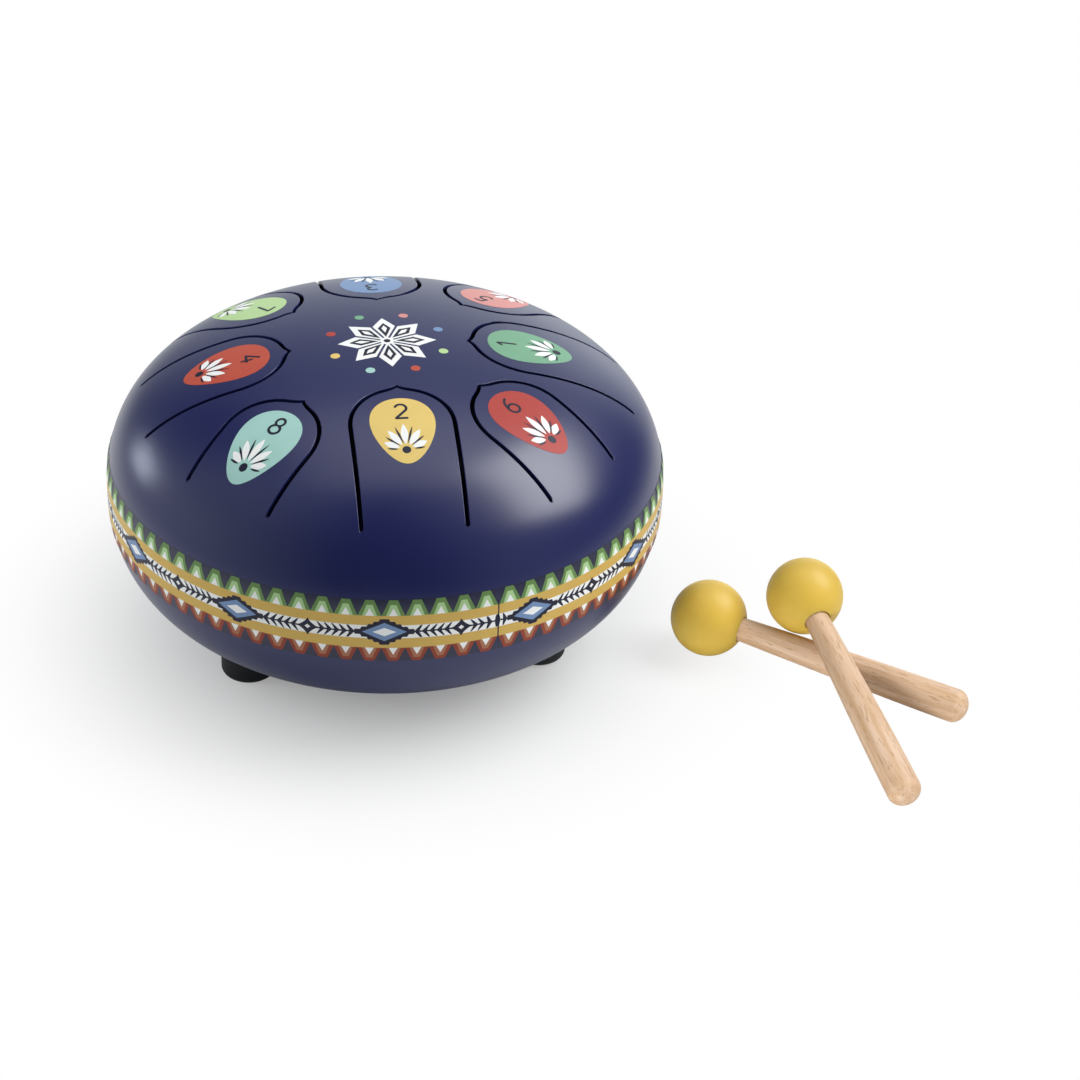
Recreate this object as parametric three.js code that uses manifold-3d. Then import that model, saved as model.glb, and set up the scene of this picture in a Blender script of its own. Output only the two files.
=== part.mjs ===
// Steel tongue drum: two pressed shells, eight tongues, a printed rim band and three screwed rubber
// feet, with a pair of ball-headed mallets lying beside it. Millimetres, +Z up. The origin is under
// the middle of the whole set, on the surface that it stands on.
import * as THREE from "three";
import { mergeVertices } from "three/addons/utils/BufferGeometryUtils.js";
import Module from "manifold-3d";

const wasm = await Module();
wasm.setup();

// Upper shell: its side stands upright at the rim and turns in to a level crown
const rimRadius = 100;
const crownHeight = 54.5; // rim to the top of the crown
const crownReach = 76; // curve handle: how far out the crown holds level
const shoulderRise = 27; // curve handle: how far up the side holds upright
const domeLand = 2; // straight stretch of the dome at the rim
const shellWall = 1.2;

// Lower shell: a bowl with a flat base, a sound hole and a joggled lip that goes up inside the dome
const bowlDepth = 45; // rim to the underside of the base
const baseRadius = 70;
const baseReach = 7; // curve handle: how far past its edge the base holds level
const bilgeDrop = 28; // curve handle: how far down the side holds upright
const soundHoleRadius = 28;
const soundHoleLip = 3; // height of the turned-up edge of the sound hole
const lipHeight = 6; // how far the joggled lip reaches above the rim
const joggleLength = 3; // height over which the wall steps in to the lip

// Clearances
const seatGap = 0.3; // between pieces that rest on each other
const boreGap = 0.15; // between a round piece and the bore round it
const lipGap = 0.6; // between the joggled lip and the dome
const socketGap = 0.35; // between a mallet's handle and its socket

// Rim seal and printed band
const sealHeight = 1.2;
const bandAboveRim = 10.5;
const bandBelowRim = 14.5;
const bandThickness = 0.3;
const bandGap = 0.1; // between the film and the shells
const bandJoint = 0.5; // opening at the butt joint of the film
const bandJointAzimuth = -74; // degrees

// Tongues, in the order of their notes from low to high
const tongueAzimuths = [0, -90, 90, 180, 45, -45, 135, -135]; // degrees
const tipRadii = [29, 29.5, 35, 34.5, 43, 41, 43, 46]; // drum axis to the tip of each slot
const tongueWidth = 36; // between the middles of the two legs of the slot
const slotWidth = 1.8;
const rootInset = 14; // the roots lie this far inside the rim
const cuspHeight = 1.7; // small point on the arch of the tip
const cuspWidth = 10;
const cuspFlare = 3; // width of the point where its sides turn up

// Feet and their fasteners
const footCount = 3;
const firstFootAzimuth = 90; // degrees
const footInset = 9; // from the edge of the flat base to a foot's axis
const footRadius = 10;
const footHeight = 17;
const footEdge = 3; // rounding of the foot's lower edge
const recessRadius = 5; // recess in the foot that hides the screw head
const recessDepth = 6;
const screwRadius = 2;
const screwChamfer = 0.5;
const screwHeadRadius = 3.8;
const screwHeadHeight = 2.6;
const screwHeadBevel = 1;
const crossLength = 4.2; // cross recess in the screw head
const crossWidth = 0.9;
const crossDepth = 1.3;
const screwPastNut = 1;
const washerRadius = 4.6;
const washerThickness = 0.8;
const nutAcrossFlats = 7;
const nutSides = 6;
const nutHeight = 3.2;

// Mallets: a ball head, and a beech handle that swells towards its rounded tail
const ballRadius = 14;
const malletReach = 101; // from the ball's centre to the end of the handle
const tenonDepth = 13; // how far the handle goes into the ball
const neckRadius = 4.4; // handle where it leaves the ball
const tailRadius = 6.2;
const swellLength = 30; // from the tail to where the handle has its full girth
const tailRound = 5; // length of the rounded tail

// Where the mallets lie: each ball's centre past the rim in x and from the drum's axis in y, and its
// handle's azimuth in degrees
const malletA = { pastRim: 15.3, y: -34.6, azimuth: -33.7 };
const malletB = { pastRim: 48.6, y: -42.2, azimuth: -80.1 };

// Facets
const shellSegments = 48;
const curveSteps = 9;
const bandSteps = 3;
const slotArcSteps = 4;
const smallSegments = 16;
const edgeSteps = 4;
const ballSegments = 20;
const ballSteps = 11;
const mergeTolerance = 1e-4; // corners closer than this are one
const findTolerance = 1e-7; // how closely a place or an angle is found by halving

// Heights and circles worked out from the sizes above
const baseZ = footHeight + seatGap;
const rimZ = baseZ + bowlDepth;
const crownZ = rimZ + crownHeight;
const domeEdgeZ = rimZ + sealHeight / 2 + seatGap;
const bowlEdgeZ = rimZ - sealHeight / 2 - seatGap;
const joggleTopZ = bowlEdgeZ - shellWall;
const joggleFootZ = joggleTopZ - joggleLength;
const lipRadius = rimRadius - shellWall - lipGap;
const rootRadius = rimRadius - rootInset;
const footCircle = baseRadius - footInset;
const screwHole = screwRadius + seatGap;
const cupWasherZ = recessDepth - seatGap - washerThickness;
const screwHeadZ = cupWasherZ - seatGap - screwHeadHeight;
const innerWasherZ = baseZ + shellWall + seatGap;
const nutZ = innerWasherZ + washerThickness + seatGap;
const screwTopZ = nutZ + nutHeight + screwPastNut;
const socketRadius = neckRadius + socketGap;
const socketMouth = Math.sqrt(ballRadius ** 2 - socketRadius ** 2);

// Finishes
const finish = (color, roughness, metalness) =>
  new THREE.MeshStandardMaterial({ color, roughness, metalness });
const navyPaint = finish(0x1f2147, 0.42, 0.1);
const printedFilm = finish(0xd8a63a, 0.5, 0);
const sealant = finish(0x2a2a2c, 0.8, 0);
const blackRubber = finish(0x161618, 0.85, 0);
const zincSteel = finish(0xb8bcc0, 0.35, 1);
const yellowRubber = finish(0xe0bd3c, 0.5, 0);
const beech = finish(0xd9b48f, 0.6, 0);

const at = (x, y) => new THREE.Vector2(x, y);
const radians = THREE.MathUtils.degToRad;

function named(name, geometry, material) {
  const mesh = new THREE.Mesh(geometry, material);
  mesh.name = name;
  return mesh;
}

// A closed geometry as a solid that can be cut and joined
function solid(geometry) {
  const bare = geometry.clone();
  bare.deleteAttribute("normal");
  bare.deleteAttribute("uv");
  const merged = mergeVertices(bare, mergeTolerance);
  const vertProperties = new Float32Array(merged.attributes.position.array);
  const triVerts = new Uint32Array(merged.index.array);
  return new wasm.Manifold(new wasm.Mesh({ numProp: 3, vertProperties, triVerts }));
}

function geometryOf(cutSolid) {
  const { vertProperties, triVerts } = cutSolid.getMesh();
  const geometry = new THREE.BufferGeometry();
  geometry.setAttribute("position", new THREE.BufferAttribute(vertProperties, 3));
  geometry.setIndex(new THREE.BufferAttribute(triVerts, 1));
  geometry.computeVertexNormals();
  return geometry;
}

// A solid of revolution about Z. The profile of radius and height runs counter-clockwise, and either
// starts and ends on the axis or is closed into a ring here.
function turned(profile, segments) {
  const onAxis = profile[0].x === 0 && profile.at(-1).x === 0;
  const points = onAxis ? profile : [...profile, profile[0].clone()];
  return new THREE.LatheGeometry(points, segments).rotateX(Math.PI / 2);
}

function ring(innerRadius, outerRadius, bottomZ, height, segments) {
  const profile = [
    at(innerRadius, bottomZ),
    at(outerRadius, bottomZ),
    at(outerRadius, bottomZ + height),
    at(innerRadius, bottomZ + height),
  ];
  return turned(profile, segments);
}

// Side of the dome, from the land at the rim up and in to the axis
const domeCurve = new THREE.CubicBezierCurve(
  at(rimRadius, rimZ + domeLand),
  at(rimRadius, rimZ + domeLand + shoulderRise),
  at(crownReach, crownZ),
  at(0, crownZ),
);

// Side of the bowl, from the edge of the flat base out and up to the foot of the joggle
const bowlCurve = new THREE.CubicBezierCurve(
  at(baseRadius, baseZ),
  at(baseRadius + baseReach, baseZ),
  at(rimRadius, joggleFootZ - bilgeDrop),
  at(rimRadius, joggleFootZ),
);

// Points along a curve between two shares of it, moved to its left, which is into the metal
function curvePoints(curve, inset, from = 0, to = 1, steps = curveSteps) {
  const points = [];
  for (let i = 0; i <= steps; i++) {
    const share = THREE.MathUtils.lerp(from, to, i / steps);
    const place = curve.getPoint(share);
    const along = curve.getTangent(share);
    points.push(at(place.x - inset * along.y, place.y + inset * along.x));
  }
  return points;
}

// The share of a rising curve at which it reaches a height
function shareAtHeight(curve, z) {
  let low = 0;
  let high = 1;
  while (high - low > findTolerance) {
    const middle = (low + high) / 2;
    if (curve.getPoint(middle).y < z) low = middle;
    else high = middle;
  }
  return low;
}

function domeGeometry() {
  const outside = curvePoints(domeCurve, 0);
  const inside = curvePoints(domeCurve, shellWall).reverse();
  outside.at(-1).setX(0);
  inside[0].setX(0);
  const edge = [at(rimRadius - shellWall, domeEdgeZ), at(rimRadius, domeEdgeZ)];
  return turned([...inside, ...edge, ...outside], shellSegments);
}

// Two parallel legs joined by an arch that ends in a small point: x runs across the tongue, and y
// runs out from the drum's axis. Legs of a slot have round ends; a tongue ends square at its root.
function archedOutline(half, archY, rootY, slotEnds) {
  const outline = new THREE.Shape();
  const lean = Math.asin(cuspWidth / 2 / half);
  const startX = half * Math.sin(lean);
  const startY = archY - half * Math.cos(lean);
  const flareX = cuspFlare / 2;
  const flareY = startY - (startX - flareX) * Math.tan(lean);
  const tipY = archY - half - cuspHeight;
  const legX = tongueWidth / 2;
  if (slotEnds) {
    outline.moveTo(legX - slotWidth / 2, rootY);
    outline.absarc(legX, rootY, slotWidth / 2, Math.PI, 0, true);
  } else {
    outline.moveTo(half, rootY);
  }
  outline.lineTo(half, archY);
  outline.absarc(0, archY, half, 0, lean - Math.PI / 2, true);
  outline.quadraticCurveTo(flareX, flareY, 0, tipY);
  outline.quadraticCurveTo(-flareX, flareY, -startX, startY);
  outline.absarc(0, archY, half, -lean - Math.PI / 2, -Math.PI, true);
  outline.lineTo(-half, rootY);
  if (slotEnds) outline.absarc(-legX, rootY, slotWidth / 2, Math.PI, 0, true);
  return outline;
}

// An upright prism of an outline, through the dome at an azimuth
function prism(outline, azimuth) {
  const depth = crownHeight;
  const geometry = new THREE.ExtrudeGeometry(outline, {
    depth,
    bevelEnabled: false,
    curveSegments: slotArcSteps,
  });
  geometry.translate(0, 0, crownZ + shellWall - depth);
  geometry.rotateZ(radians(azimuth - 90));
  return solid(geometry);
}

function makeDome() {
  const blank = solid(domeGeometry());
  let shell = blank;
  const tongues = tongueAzimuths.map((azimuth, i) => {
    const archY = tipRadii[i] + cuspHeight + tongueWidth / 2;
    const window = archedOutline((tongueWidth + slotWidth) / 2, archY, rootRadius, true);
    const blade = archedOutline((tongueWidth - slotWidth) / 2, archY, rootRadius - seatGap, false);
    shell = shell.subtract(prism(window, azimuth));
    const tongue = blank.intersect(prism(blade, azimuth));
    return named(`tongue_${i + 1}`, geometryOf(tongue), navyPaint);
  });
  return [named("upper_shell", geometryOf(shell), navyPaint), ...tongues];
}

const footPlaces = Array.from({ length: footCount }, (_, i) => {
  const azimuth = radians(firstFootAzimuth + (360 / footCount) * i);
  return new THREE.Vector3(footCircle * Math.cos(azimuth), footCircle * Math.sin(azimuth), 0);
});

function makeBowl() {
  const profile = [
    at(soundHoleRadius, baseZ),
    ...curvePoints(bowlCurve, 0),
    at(rimRadius, bowlEdgeZ),
    at(lipRadius, bowlEdgeZ),
    at(lipRadius, rimZ + lipHeight),
    at(lipRadius - shellWall, rimZ + lipHeight),
    at(lipRadius - shellWall, joggleTopZ),
    ...curvePoints(bowlCurve, shellWall).reverse(),
    at(soundHoleRadius + shellWall, baseZ + shellWall),
    at(soundHoleRadius + shellWall, baseZ + soundHoleLip),
    at(soundHoleRadius, baseZ + soundHoleLip),
  ];
  let bowl = solid(turned(profile, shellSegments));
  const drillLength = 4 * shellWall; // through the base, with some to spare
  for (const place of footPlaces) {
    const drill = new THREE.CylinderGeometry(screwHole, screwHole, drillLength, smallSegments);
    drill.rotateX(Math.PI / 2).translate(place.x, place.y, baseZ);
    bowl = bowl.subtract(solid(drill));
  }
  return named("lower_shell", geometryOf(bowl), navyPaint);
}

// Sealant between the edges of the two shells, round the joggled lip
function makeSeal() {
  const geometry = ring(lipRadius + boreGap, rimRadius, rimZ - sealHeight / 2, sealHeight, shellSegments);
  return named("rim_seal", geometry, sealant);
}

// Printed film strip that follows both shells across the rim, open at its butt joint
function makeBand() {
  const above = shareAtHeight(domeCurve, rimZ + bandAboveRim);
  const below = shareAtHeight(bowlCurve, rimZ - bandBelowRim);
  const follow = (offset) => [
    ...curvePoints(bowlCurve, -offset, below, 1, bandSteps),
    ...curvePoints(domeCurve, -offset, 0, above, bandSteps),
  ];
  const profile = [...follow(bandGap + bandThickness), ...follow(bandGap).reverse()];
  const cut = new THREE.BoxGeometry(rimRadius, bandJoint, 2 * (bandAboveRim + bandBelowRim));
  cut.translate(rimRadius, 0, rimZ).rotateZ(radians(bandJointAzimuth));
  const strip = solid(turned(profile, shellSegments)).subtract(solid(cut));
  return named("printed_band", geometryOf(strip), printedFilm);
}

function footGeometry() {
  const edge = new THREE.EllipseCurve(footRadius - footEdge, footEdge, footEdge, footEdge, -Math.PI / 2, 0);
  const profile = [
    at(recessRadius, 0),
    ...edge.getPoints(edgeSteps),
    at(footRadius, footHeight),
    at(screwHole, footHeight),
    at(screwHole, recessDepth),
    at(recessRadius, recessDepth),
  ];
  return turned(profile, smallSegments);
}

// Pan head screw, head down, with a cross recess
function screwGeometry() {
  const headTop = screwHeadZ + screwHeadHeight;
  const profile = [
    at(0, screwHeadZ),
    at(screwHeadRadius - screwHeadBevel, screwHeadZ),
    at(screwHeadRadius, screwHeadZ + screwHeadBevel),
    at(screwHeadRadius, headTop),
    at(screwRadius, headTop),
    at(screwRadius, screwTopZ - screwChamfer),
    at(screwRadius - screwChamfer, screwTopZ),
    at(0, screwTopZ),
  ];
  let screw = solid(turned(profile, smallSegments));
  for (const size of [[crossLength, crossWidth], [crossWidth, crossLength]]) {
    const slot = new THREE.BoxGeometry(...size, 2 * crossDepth).translate(0, 0, screwHeadZ);
    screw = screw.subtract(solid(slot));
  }
  return geometryOf(screw);
}

function nutGeometry() {
  const cornerRadius = nutAcrossFlats / 2 / Math.cos(Math.PI / nutSides);
  const corners = Array.from({ length: nutSides }, (_, i) => {
    const turn = (2 * Math.PI * i) / nutSides;
    return at(cornerRadius * Math.cos(turn), cornerRadius * Math.sin(turn));
  });
  const outline = new THREE.Shape(corners);
  outline.holes.push(new THREE.Path().absarc(0, 0, screwRadius + boreGap, 0, 2 * Math.PI, true));
  const options = { depth: nutHeight, bevelEnabled: false, curveSegments: smallSegments / 2 };
  return new THREE.ExtrudeGeometry(outline, options).translate(0, 0, nutZ);
}

function makeFeet() {
  const bore = screwRadius + boreGap;
  return footPlaces.map((place, i) => {
    const foot = new THREE.Group();
    const cupWasher = ring(bore, washerRadius, cupWasherZ, washerThickness, smallSegments);
    const innerWasher = ring(bore, washerRadius, innerWasherZ, washerThickness, smallSegments);
    foot.add(
      named(`foot_${i + 1}`, footGeometry(), blackRubber),
      named(`foot_cup_washer_${i + 1}`, cupWasher, zincSteel),
      named(`foot_screw_${i + 1}`, screwGeometry(), zincSteel),
      named(`inner_washer_${i + 1}`, innerWasher, zincSteel),
      named(`foot_nut_${i + 1}`, nutGeometry(), zincSteel),
    );
    foot.position.copy(place);
    return foot;
  });
}

// Ball head about its own centre, with its socket open towards +Z
function ballGeometry() {
  const mouthAngle = Math.PI / 2 - Math.asin(socketRadius / ballRadius);
  const round = new THREE.EllipseCurve(0, 0, ballRadius, ballRadius, -Math.PI / 2, mouthAngle);
  const socketFloor = socketMouth - tenonDepth - seatGap;
  const profile = [...round.getPoints(ballSteps), at(socketRadius, socketFloor), at(0, socketFloor)];
  profile[0].setX(0);
  return turned(profile, ballSegments);
}

// Handle along +Z from the ball's centre: tenon, swelling grip and rounded tail
function handleProfile() {
  const gripEnd = malletReach - tailRound;
  const swell = new THREE.QuadraticBezierCurve(
    at(neckRadius, socketMouth),
    at(tailRadius, malletReach - swellLength),
    at(tailRadius, gripEnd),
  );
  const tail = new THREE.EllipseCurve(0, gripEnd, tailRadius, tailRound, 0, Math.PI / 2);
  const tenonEnd = socketMouth - tenonDepth;
  const tailPoints = tail.getPoints(edgeSteps + 1).slice(1);
  tailPoints.at(-1).setX(0);
  return [at(0, tenonEnd), at(neckRadius, tenonEnd), ...swell.getPoints(edgeSteps), ...tailPoints];
}

// Angle below level at which a handle's tail touches the floor when its ball's centre is this high.
// It is less than the angle at which the middle of the tail would touch.
function restingPitch(centreHeight) {
  const profile = handleProfile();
  let low = 0;
  let high = Math.asin(centreHeight / malletReach);
  while (high - low > findTolerance) {
    const pitch = (low + high) / 2;
    const drops = profile.map((p) => p.y * Math.sin(pitch) + p.x * Math.cos(pitch));
    if (Math.max(...drops) < centreHeight) low = pitch;
    else high = pitch;
  }
  return low;
}

function ballCentre(place, height) {
  return new THREE.Vector3(rimRadius + place.pastRim, place.y, height);
}

// Direction of a handle that points along an azimuth and down to the floor
function handleDirection(place, centreHeight) {
  const pitch = restingPitch(centreHeight);
  const azimuth = radians(place.azimuth);
  const level = Math.cos(pitch);
  return new THREE.Vector3(level * Math.cos(azimuth), level * Math.sin(azimuth), -Math.sin(pitch));
}

// Height at which mallet b's ball comes to rest on mallet a's handle, or on the floor beside it. It is
// highest where it sits right on top of the thickest stretch.
function leaningHeight(handleLine) {
  const profile = handleProfile();
  const handleRadius = (along) => {
    const i = profile.findIndex((p, k) => k > 1 && p.y >= along);
    const [a, b] = [profile[i - 1], profile[i]];
    return THREE.MathUtils.mapLinear(along, a.y, b.y, a.x, b.x);
  };
  let low = ballRadius;
  let high = 2 * ballRadius + tailRadius + seatGap;
  while (high - low > findTolerance) {
    const height = (low + high) / 2;
    const centre = ballCentre(malletB, height);
    const along = centre.clone().sub(handleLine.origin).dot(handleLine.direction);
    const clearance = handleLine.distanceToPoint(centre) - handleRadius(along) - ballRadius;
    if (clearance < seatGap) low = height;
    else high = height;
  }
  return high;
}

function makeMallet(letter, centre, direction) {
  const mallet = new THREE.Group();
  mallet.add(
    named(`mallet_${letter}_head`, ballGeometry(), yellowRubber),
    named(`mallet_${letter}_handle`, turned(handleProfile(), smallSegments), beech),
  );
  mallet.position.copy(centre);
  mallet.quaternion.setFromUnitVectors(new THREE.Vector3(0, 0, 1), direction);
  return mallet;
}

function makeMallets() {
  const centreA = ballCentre(malletA, ballRadius);
  const lineA = new THREE.Ray(centreA, handleDirection(malletA, ballRadius));
  const heightB = leaningHeight(lineA);
  return [
    makeMallet("a", centreA, lineA.direction),
    makeMallet("b", ballCentre(malletB, heightB), handleDirection(malletB, heightB)),
  ];
}

const pieces = new THREE.Group();
pieces.add(...makeDome(), makeBowl(), makeSeal(), makeBand(), ...makeFeet(), ...makeMallets());

// The drum's axis is set aside so that the origin is under the middle of the set
const middle = new THREE.Box3().setFromObject(pieces, true).getCenter(new THREE.Vector3());
pieces.position.set(-middle.x, -middle.y, 0);

const tongueDrum = new THREE.Group();
tongueDrum.add(pieces);

export default tongueDrum;
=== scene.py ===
# %% [markdown]
# # A steel tongue drum and its two mallets
#
# This lesson dresses a small steel tongue drum. Two pressed shells meet at the rim, eight tongues are cut
# in the dome, the prints are bright, and a pair of ball-headed mallets lies beside it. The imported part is
# loaded first, as a fixed frame of plain solids. Each step then makes a finer surface for some of them
# with numpy, in the same place and at the same size, and gives it a finish built from shader nodes.

# %% Load the frame
from typing import NamedTuple

import bmesh
import bpy
import numpy as np
from mathutils import Matrix, Quaternion, Vector


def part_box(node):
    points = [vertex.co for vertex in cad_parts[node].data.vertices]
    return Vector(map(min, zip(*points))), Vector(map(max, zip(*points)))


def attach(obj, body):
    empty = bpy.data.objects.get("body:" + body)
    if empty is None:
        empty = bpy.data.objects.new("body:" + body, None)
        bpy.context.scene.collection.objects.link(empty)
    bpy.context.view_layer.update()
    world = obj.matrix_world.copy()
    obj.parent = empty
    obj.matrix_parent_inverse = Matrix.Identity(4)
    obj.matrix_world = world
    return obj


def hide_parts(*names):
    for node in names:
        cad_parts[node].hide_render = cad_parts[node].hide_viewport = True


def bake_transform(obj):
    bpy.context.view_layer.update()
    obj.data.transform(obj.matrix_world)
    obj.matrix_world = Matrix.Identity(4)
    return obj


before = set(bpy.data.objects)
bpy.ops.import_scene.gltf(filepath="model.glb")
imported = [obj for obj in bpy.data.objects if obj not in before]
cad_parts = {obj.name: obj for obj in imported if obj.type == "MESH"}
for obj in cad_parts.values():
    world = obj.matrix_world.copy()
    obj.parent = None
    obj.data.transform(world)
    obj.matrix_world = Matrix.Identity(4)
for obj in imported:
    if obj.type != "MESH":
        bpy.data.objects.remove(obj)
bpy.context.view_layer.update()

# %% [markdown]
# ## Where the drum stands
#
# Nothing is placed by eye. The drum's axis, rim, crown and base are read from the boxes of the solids that
# are already there, and only the sizes that a box can't show are written out. They could all be typed in
# again, but a value that is read from the frame can't drift away from it.

# %% Read the main places from the frame
mm = 0.001


def corners(node):
    """Lowest and highest corner of a solid, as arrays."""
    return [np.array(corner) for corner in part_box(node)]


dome_low, dome_high = corners("upper_shell")
drum_axis = np.append((dome_low + dome_high)[:2] / 2, 0)
rim_radius = (dome_high - dome_low)[0] / 2
rim_z = sum(corners("rim_seal"))[2] / 2
crown_z = dome_high[2]
base_z = corners("lower_shell")[0][2]
shell_wall = 1.2 * mm
print("rim radius", round(rim_radius, 4), "rim height", round(rim_z, 4), "crown", round(crown_z, 4))

# %% [markdown]
# ## From a grid of points to a mesh
#
# Every new piece here is a grid: rows and columns of points from a formula, with a normal at each point.
# Blender could guess the normals from the faces, but then two pieces that meet would shade a little
# differently along the seam. Normals from the formula itself make the seam disappear. Points that share
# a place are merged at the end, which closes the seams and the poles.

# %% Sheets of points and faces
class Sheet(NamedTuple):
    """Points with their normals, four-sided faces, and the number of each face's finish."""

    points: np.ndarray
    normals: np.ndarray
    faces: np.ndarray
    finish: np.ndarray


def grid(points, normals, finish=0, round_columns=False):
    """A grid of points as a sheet. Each face joins a point to its neighbours in the next row and column.
    The faces are turned over if they look against the normals that were given."""
    rows, columns = points.shape[:2]
    number = np.arange(rows * columns).reshape(rows, columns)
    if round_columns:
        number = np.hstack([number, number[:, :1]])
    faces = np.stack([number[:-1, :-1], number[:-1, 1:], number[1:, 1:], number[1:, :-1]], axis=-1)
    finish = np.broadcast_to(finish, faces.shape[:2]).ravel()
    faces = faces.reshape(-1, 4)
    points = points.reshape(-1, 3)
    normals = normals.reshape(-1, 3)
    diagonals = points[faces[:, 2]] - points[faces[:, 0]], points[faces[:, 3]] - points[faces[:, 1]]
    if np.sum(np.cross(*diagonals) * normals[faces].sum(axis=1)) < 0:
        faces = faces[:, ::-1]
    return Sheet(points, normals, faces, finish)


def together(sheets):
    """Several sheets as one: each sheet's faces count on from the points of the sheets before it."""
    starts = np.cumsum([0] + [len(sheet.points) for sheet in sheets[:-1]])
    counted = [sheet._replace(faces=sheet.faces + start) for sheet, start in zip(sheets, starts)]
    return Sheet(*(np.concatenate(values) for values in zip(*counted)))


def shifted(sheet, place):
    """The same sheet moved to a place."""
    return sheet._replace(points=sheet.points + place)


print("a sheet holds", Sheet._fields)

# %% From a sheet to a mesh object
weld_distance = 0.002 * mm


def make_piece(name, sheet, materials, marks=None):
    """A sheet as a mesh object: points that share a place are merged, and the normals are kept. marks are
    further named values at the points, which a finish can read."""
    mesh = bpy.data.meshes.new(name)
    mesh.from_pydata(sheet.points.tolist(), [], sheet.faces.tolist(), shade_flat=False)
    mesh.polygons.foreach_set("material_index", sheet.finish.astype(np.int32))
    values = {"true_normal": sheet.normals, **(marks or {})}
    for label, vectors in values.items():
        attribute = mesh.attributes.new(label, "FLOAT_VECTOR", "POINT")
        attribute.data.foreach_set("vector", np.ascontiguousarray(vectors, np.float32).ravel())
    work = bmesh.new()
    work.from_mesh(mesh)
    bmesh.ops.remove_doubles(work, verts=work.verts, dist=weld_distance)
    loose = [point for point in work.verts if not point.link_faces]
    bmesh.ops.delete(work, geom=loose, context="VERTS")
    work.to_mesh(mesh)
    work.free()
    normals = np.zeros(len(mesh.vertices) * 3, np.float32)
    mesh.attributes["true_normal"].data.foreach_get("vector", normals)
    mesh.attributes.remove(mesh.attributes["true_normal"])
    mesh.normals_split_custom_set_from_vertices(normals.reshape(-1, 3))
    for material in materials:
        mesh.materials.append(material)
    piece = bpy.data.objects.new(name, mesh)
    bpy.context.scene.collection.objects.link(piece)
    print(name, "has", len(mesh.polygons), "faces")
    return piece


print("points within", weld_distance / mm, "mm are merged")

# %% [markdown]
# ## Profiles and turning
#
# Most of the pieces are round, so they are profiles carried round an axis, as on a lathe. A Screw modifier
# could turn them too, but arrays also give the exact normals. A profile is a list of radius and height
# with the direction that the surface faces there. Straight runs are given by their corners, and each
# corner becomes a small arc, because no real edge is perfectly sharp and it is the arc that catches the
# light.

# %% Plane figures and curves
def pairs(x, y):
    """Points of a plane from their x and y. A single number counts for all of them."""
    return np.stack(np.broadcast_arrays(x, y), axis=-1)


def circle(angles):
    """Points of a circle of radius one: (cos a, sin a)."""
    return pairs(np.cos(angles), np.sin(angles))


def unit(vectors):
    """Vectors of length one in the same directions."""
    return vectors / np.maximum(np.linalg.norm(vectors, axis=-1, keepdims=True), 1e-12)


def right_of(ways):
    """Directions turned a quarter to the right, which is outwards where a profile's outer side rises."""
    return pairs(ways[..., 1], -ways[..., 0])


def bezier(handles, share):
    """Points and normals of a cubic curve. A point is its four handles weighed by (1-t)^3, 3t(1-t)^2,
    3t^2(1-t) and t^3, and the normal is a quarter turn right of the slope."""
    t = np.asarray(share, float)[:, None]
    handles = np.asarray(handles, float)
    weights = np.hstack([(1 - t) ** 3, 3 * t * (1 - t) ** 2, 3 * t**2 * (1 - t), t**3])
    steps = np.hstack([(1 - t) ** 2, 2 * t * (1 - t), t**2])
    return np.hstack([weights @ handles, right_of(unit(steps @ np.diff(handles, axis=0)))])


print("to the right of (0, 1) lies", right_of(circle(np.pi / 2)).round(3))

# %% Rounded corners and turning
full_turn = 2 * np.pi
corner_steps = 5


def rounded(corner_list, closed=False, steps=corner_steps):
    """A run of corners (radius, height, rounding) as a profile. Each corner becomes an arc that touches
    both of its sides: the normal swings through the corner's turn, and a point lies one rounding along
    the normal from the arc's centre."""
    run = np.asarray(corner_list, float)
    spots, rounding = run[:, :2], run[:, 2:]
    way_in = unit(spots - np.roll(spots, 1, axis=0))
    way_out = unit(np.roll(spots, -1, axis=0) - spots)
    if not closed:
        way_in[0] = way_out[0]
        way_out[-1] = way_in[-1]
    turn = np.arctan2(np.sum(-right_of(way_in) * way_out, axis=1), np.sum(way_in * way_out, axis=1))
    side = np.sign(turn)[:, None]
    facing = right_of(way_in)
    start = spots - way_in * rounding * np.tan(np.abs(turn) / 2)[:, None]
    centre = start - side * rounding * facing
    swing = turn[:, None] * np.linspace(0, 1, steps + 1)
    cosine, sine = np.cos(swing)[..., None], np.sin(swing)[..., None]
    normals = facing[:, None] * cosine - right_of(facing)[:, None] * sine
    points = centre[:, None] + (side * rounding)[:, None] * normals
    profile = np.concatenate([points, normals], axis=-1).reshape(-1, 4)
    return np.vstack([profile, profile[:1]]) if closed else profile


def about_axis(radius, angles, height):
    """Points round an upright axis: x = r cos a, y = r sin a, z = h."""
    return np.stack(np.broadcast_arrays(radius * np.cos(angles), radius * np.sin(angles), height), axis=-1)


def turned(profile, angles):
    """A profile carried round an upright axis. Its normals go round in the same way as its points."""
    points, normals = (about_axis(half[:, :1], angles, half[:, 1:]) for half in np.hsplit(profile, 2))
    return grid(points, normals, round_columns=True)


def even_angles(count):
    """Angles at even steps round a full turn."""
    return np.linspace(0, full_turn, count, endpoint=False)


print("a rounded corner has", corner_steps + 1, "points")

# %% [markdown]
# ## One shared effect: a surface that is not quite even
#
# Paint, rubber, ink and steel have this in common: their colour and gloss drift a little from place to
# place, and they have a fine grain that only shows in the highlights. That is built once as a node group
# from two noise textures, and each finish sets its own colour, patch size and grain. It could be copied
# into every material, but then a change would have to be made in each.

# %% Helpers for nodes
def set_inputs(node, values):
    """Sets some of a node's inputs, each by its name or number."""
    for label, value in values.items():
        node.inputs[label].default_value = value


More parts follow.
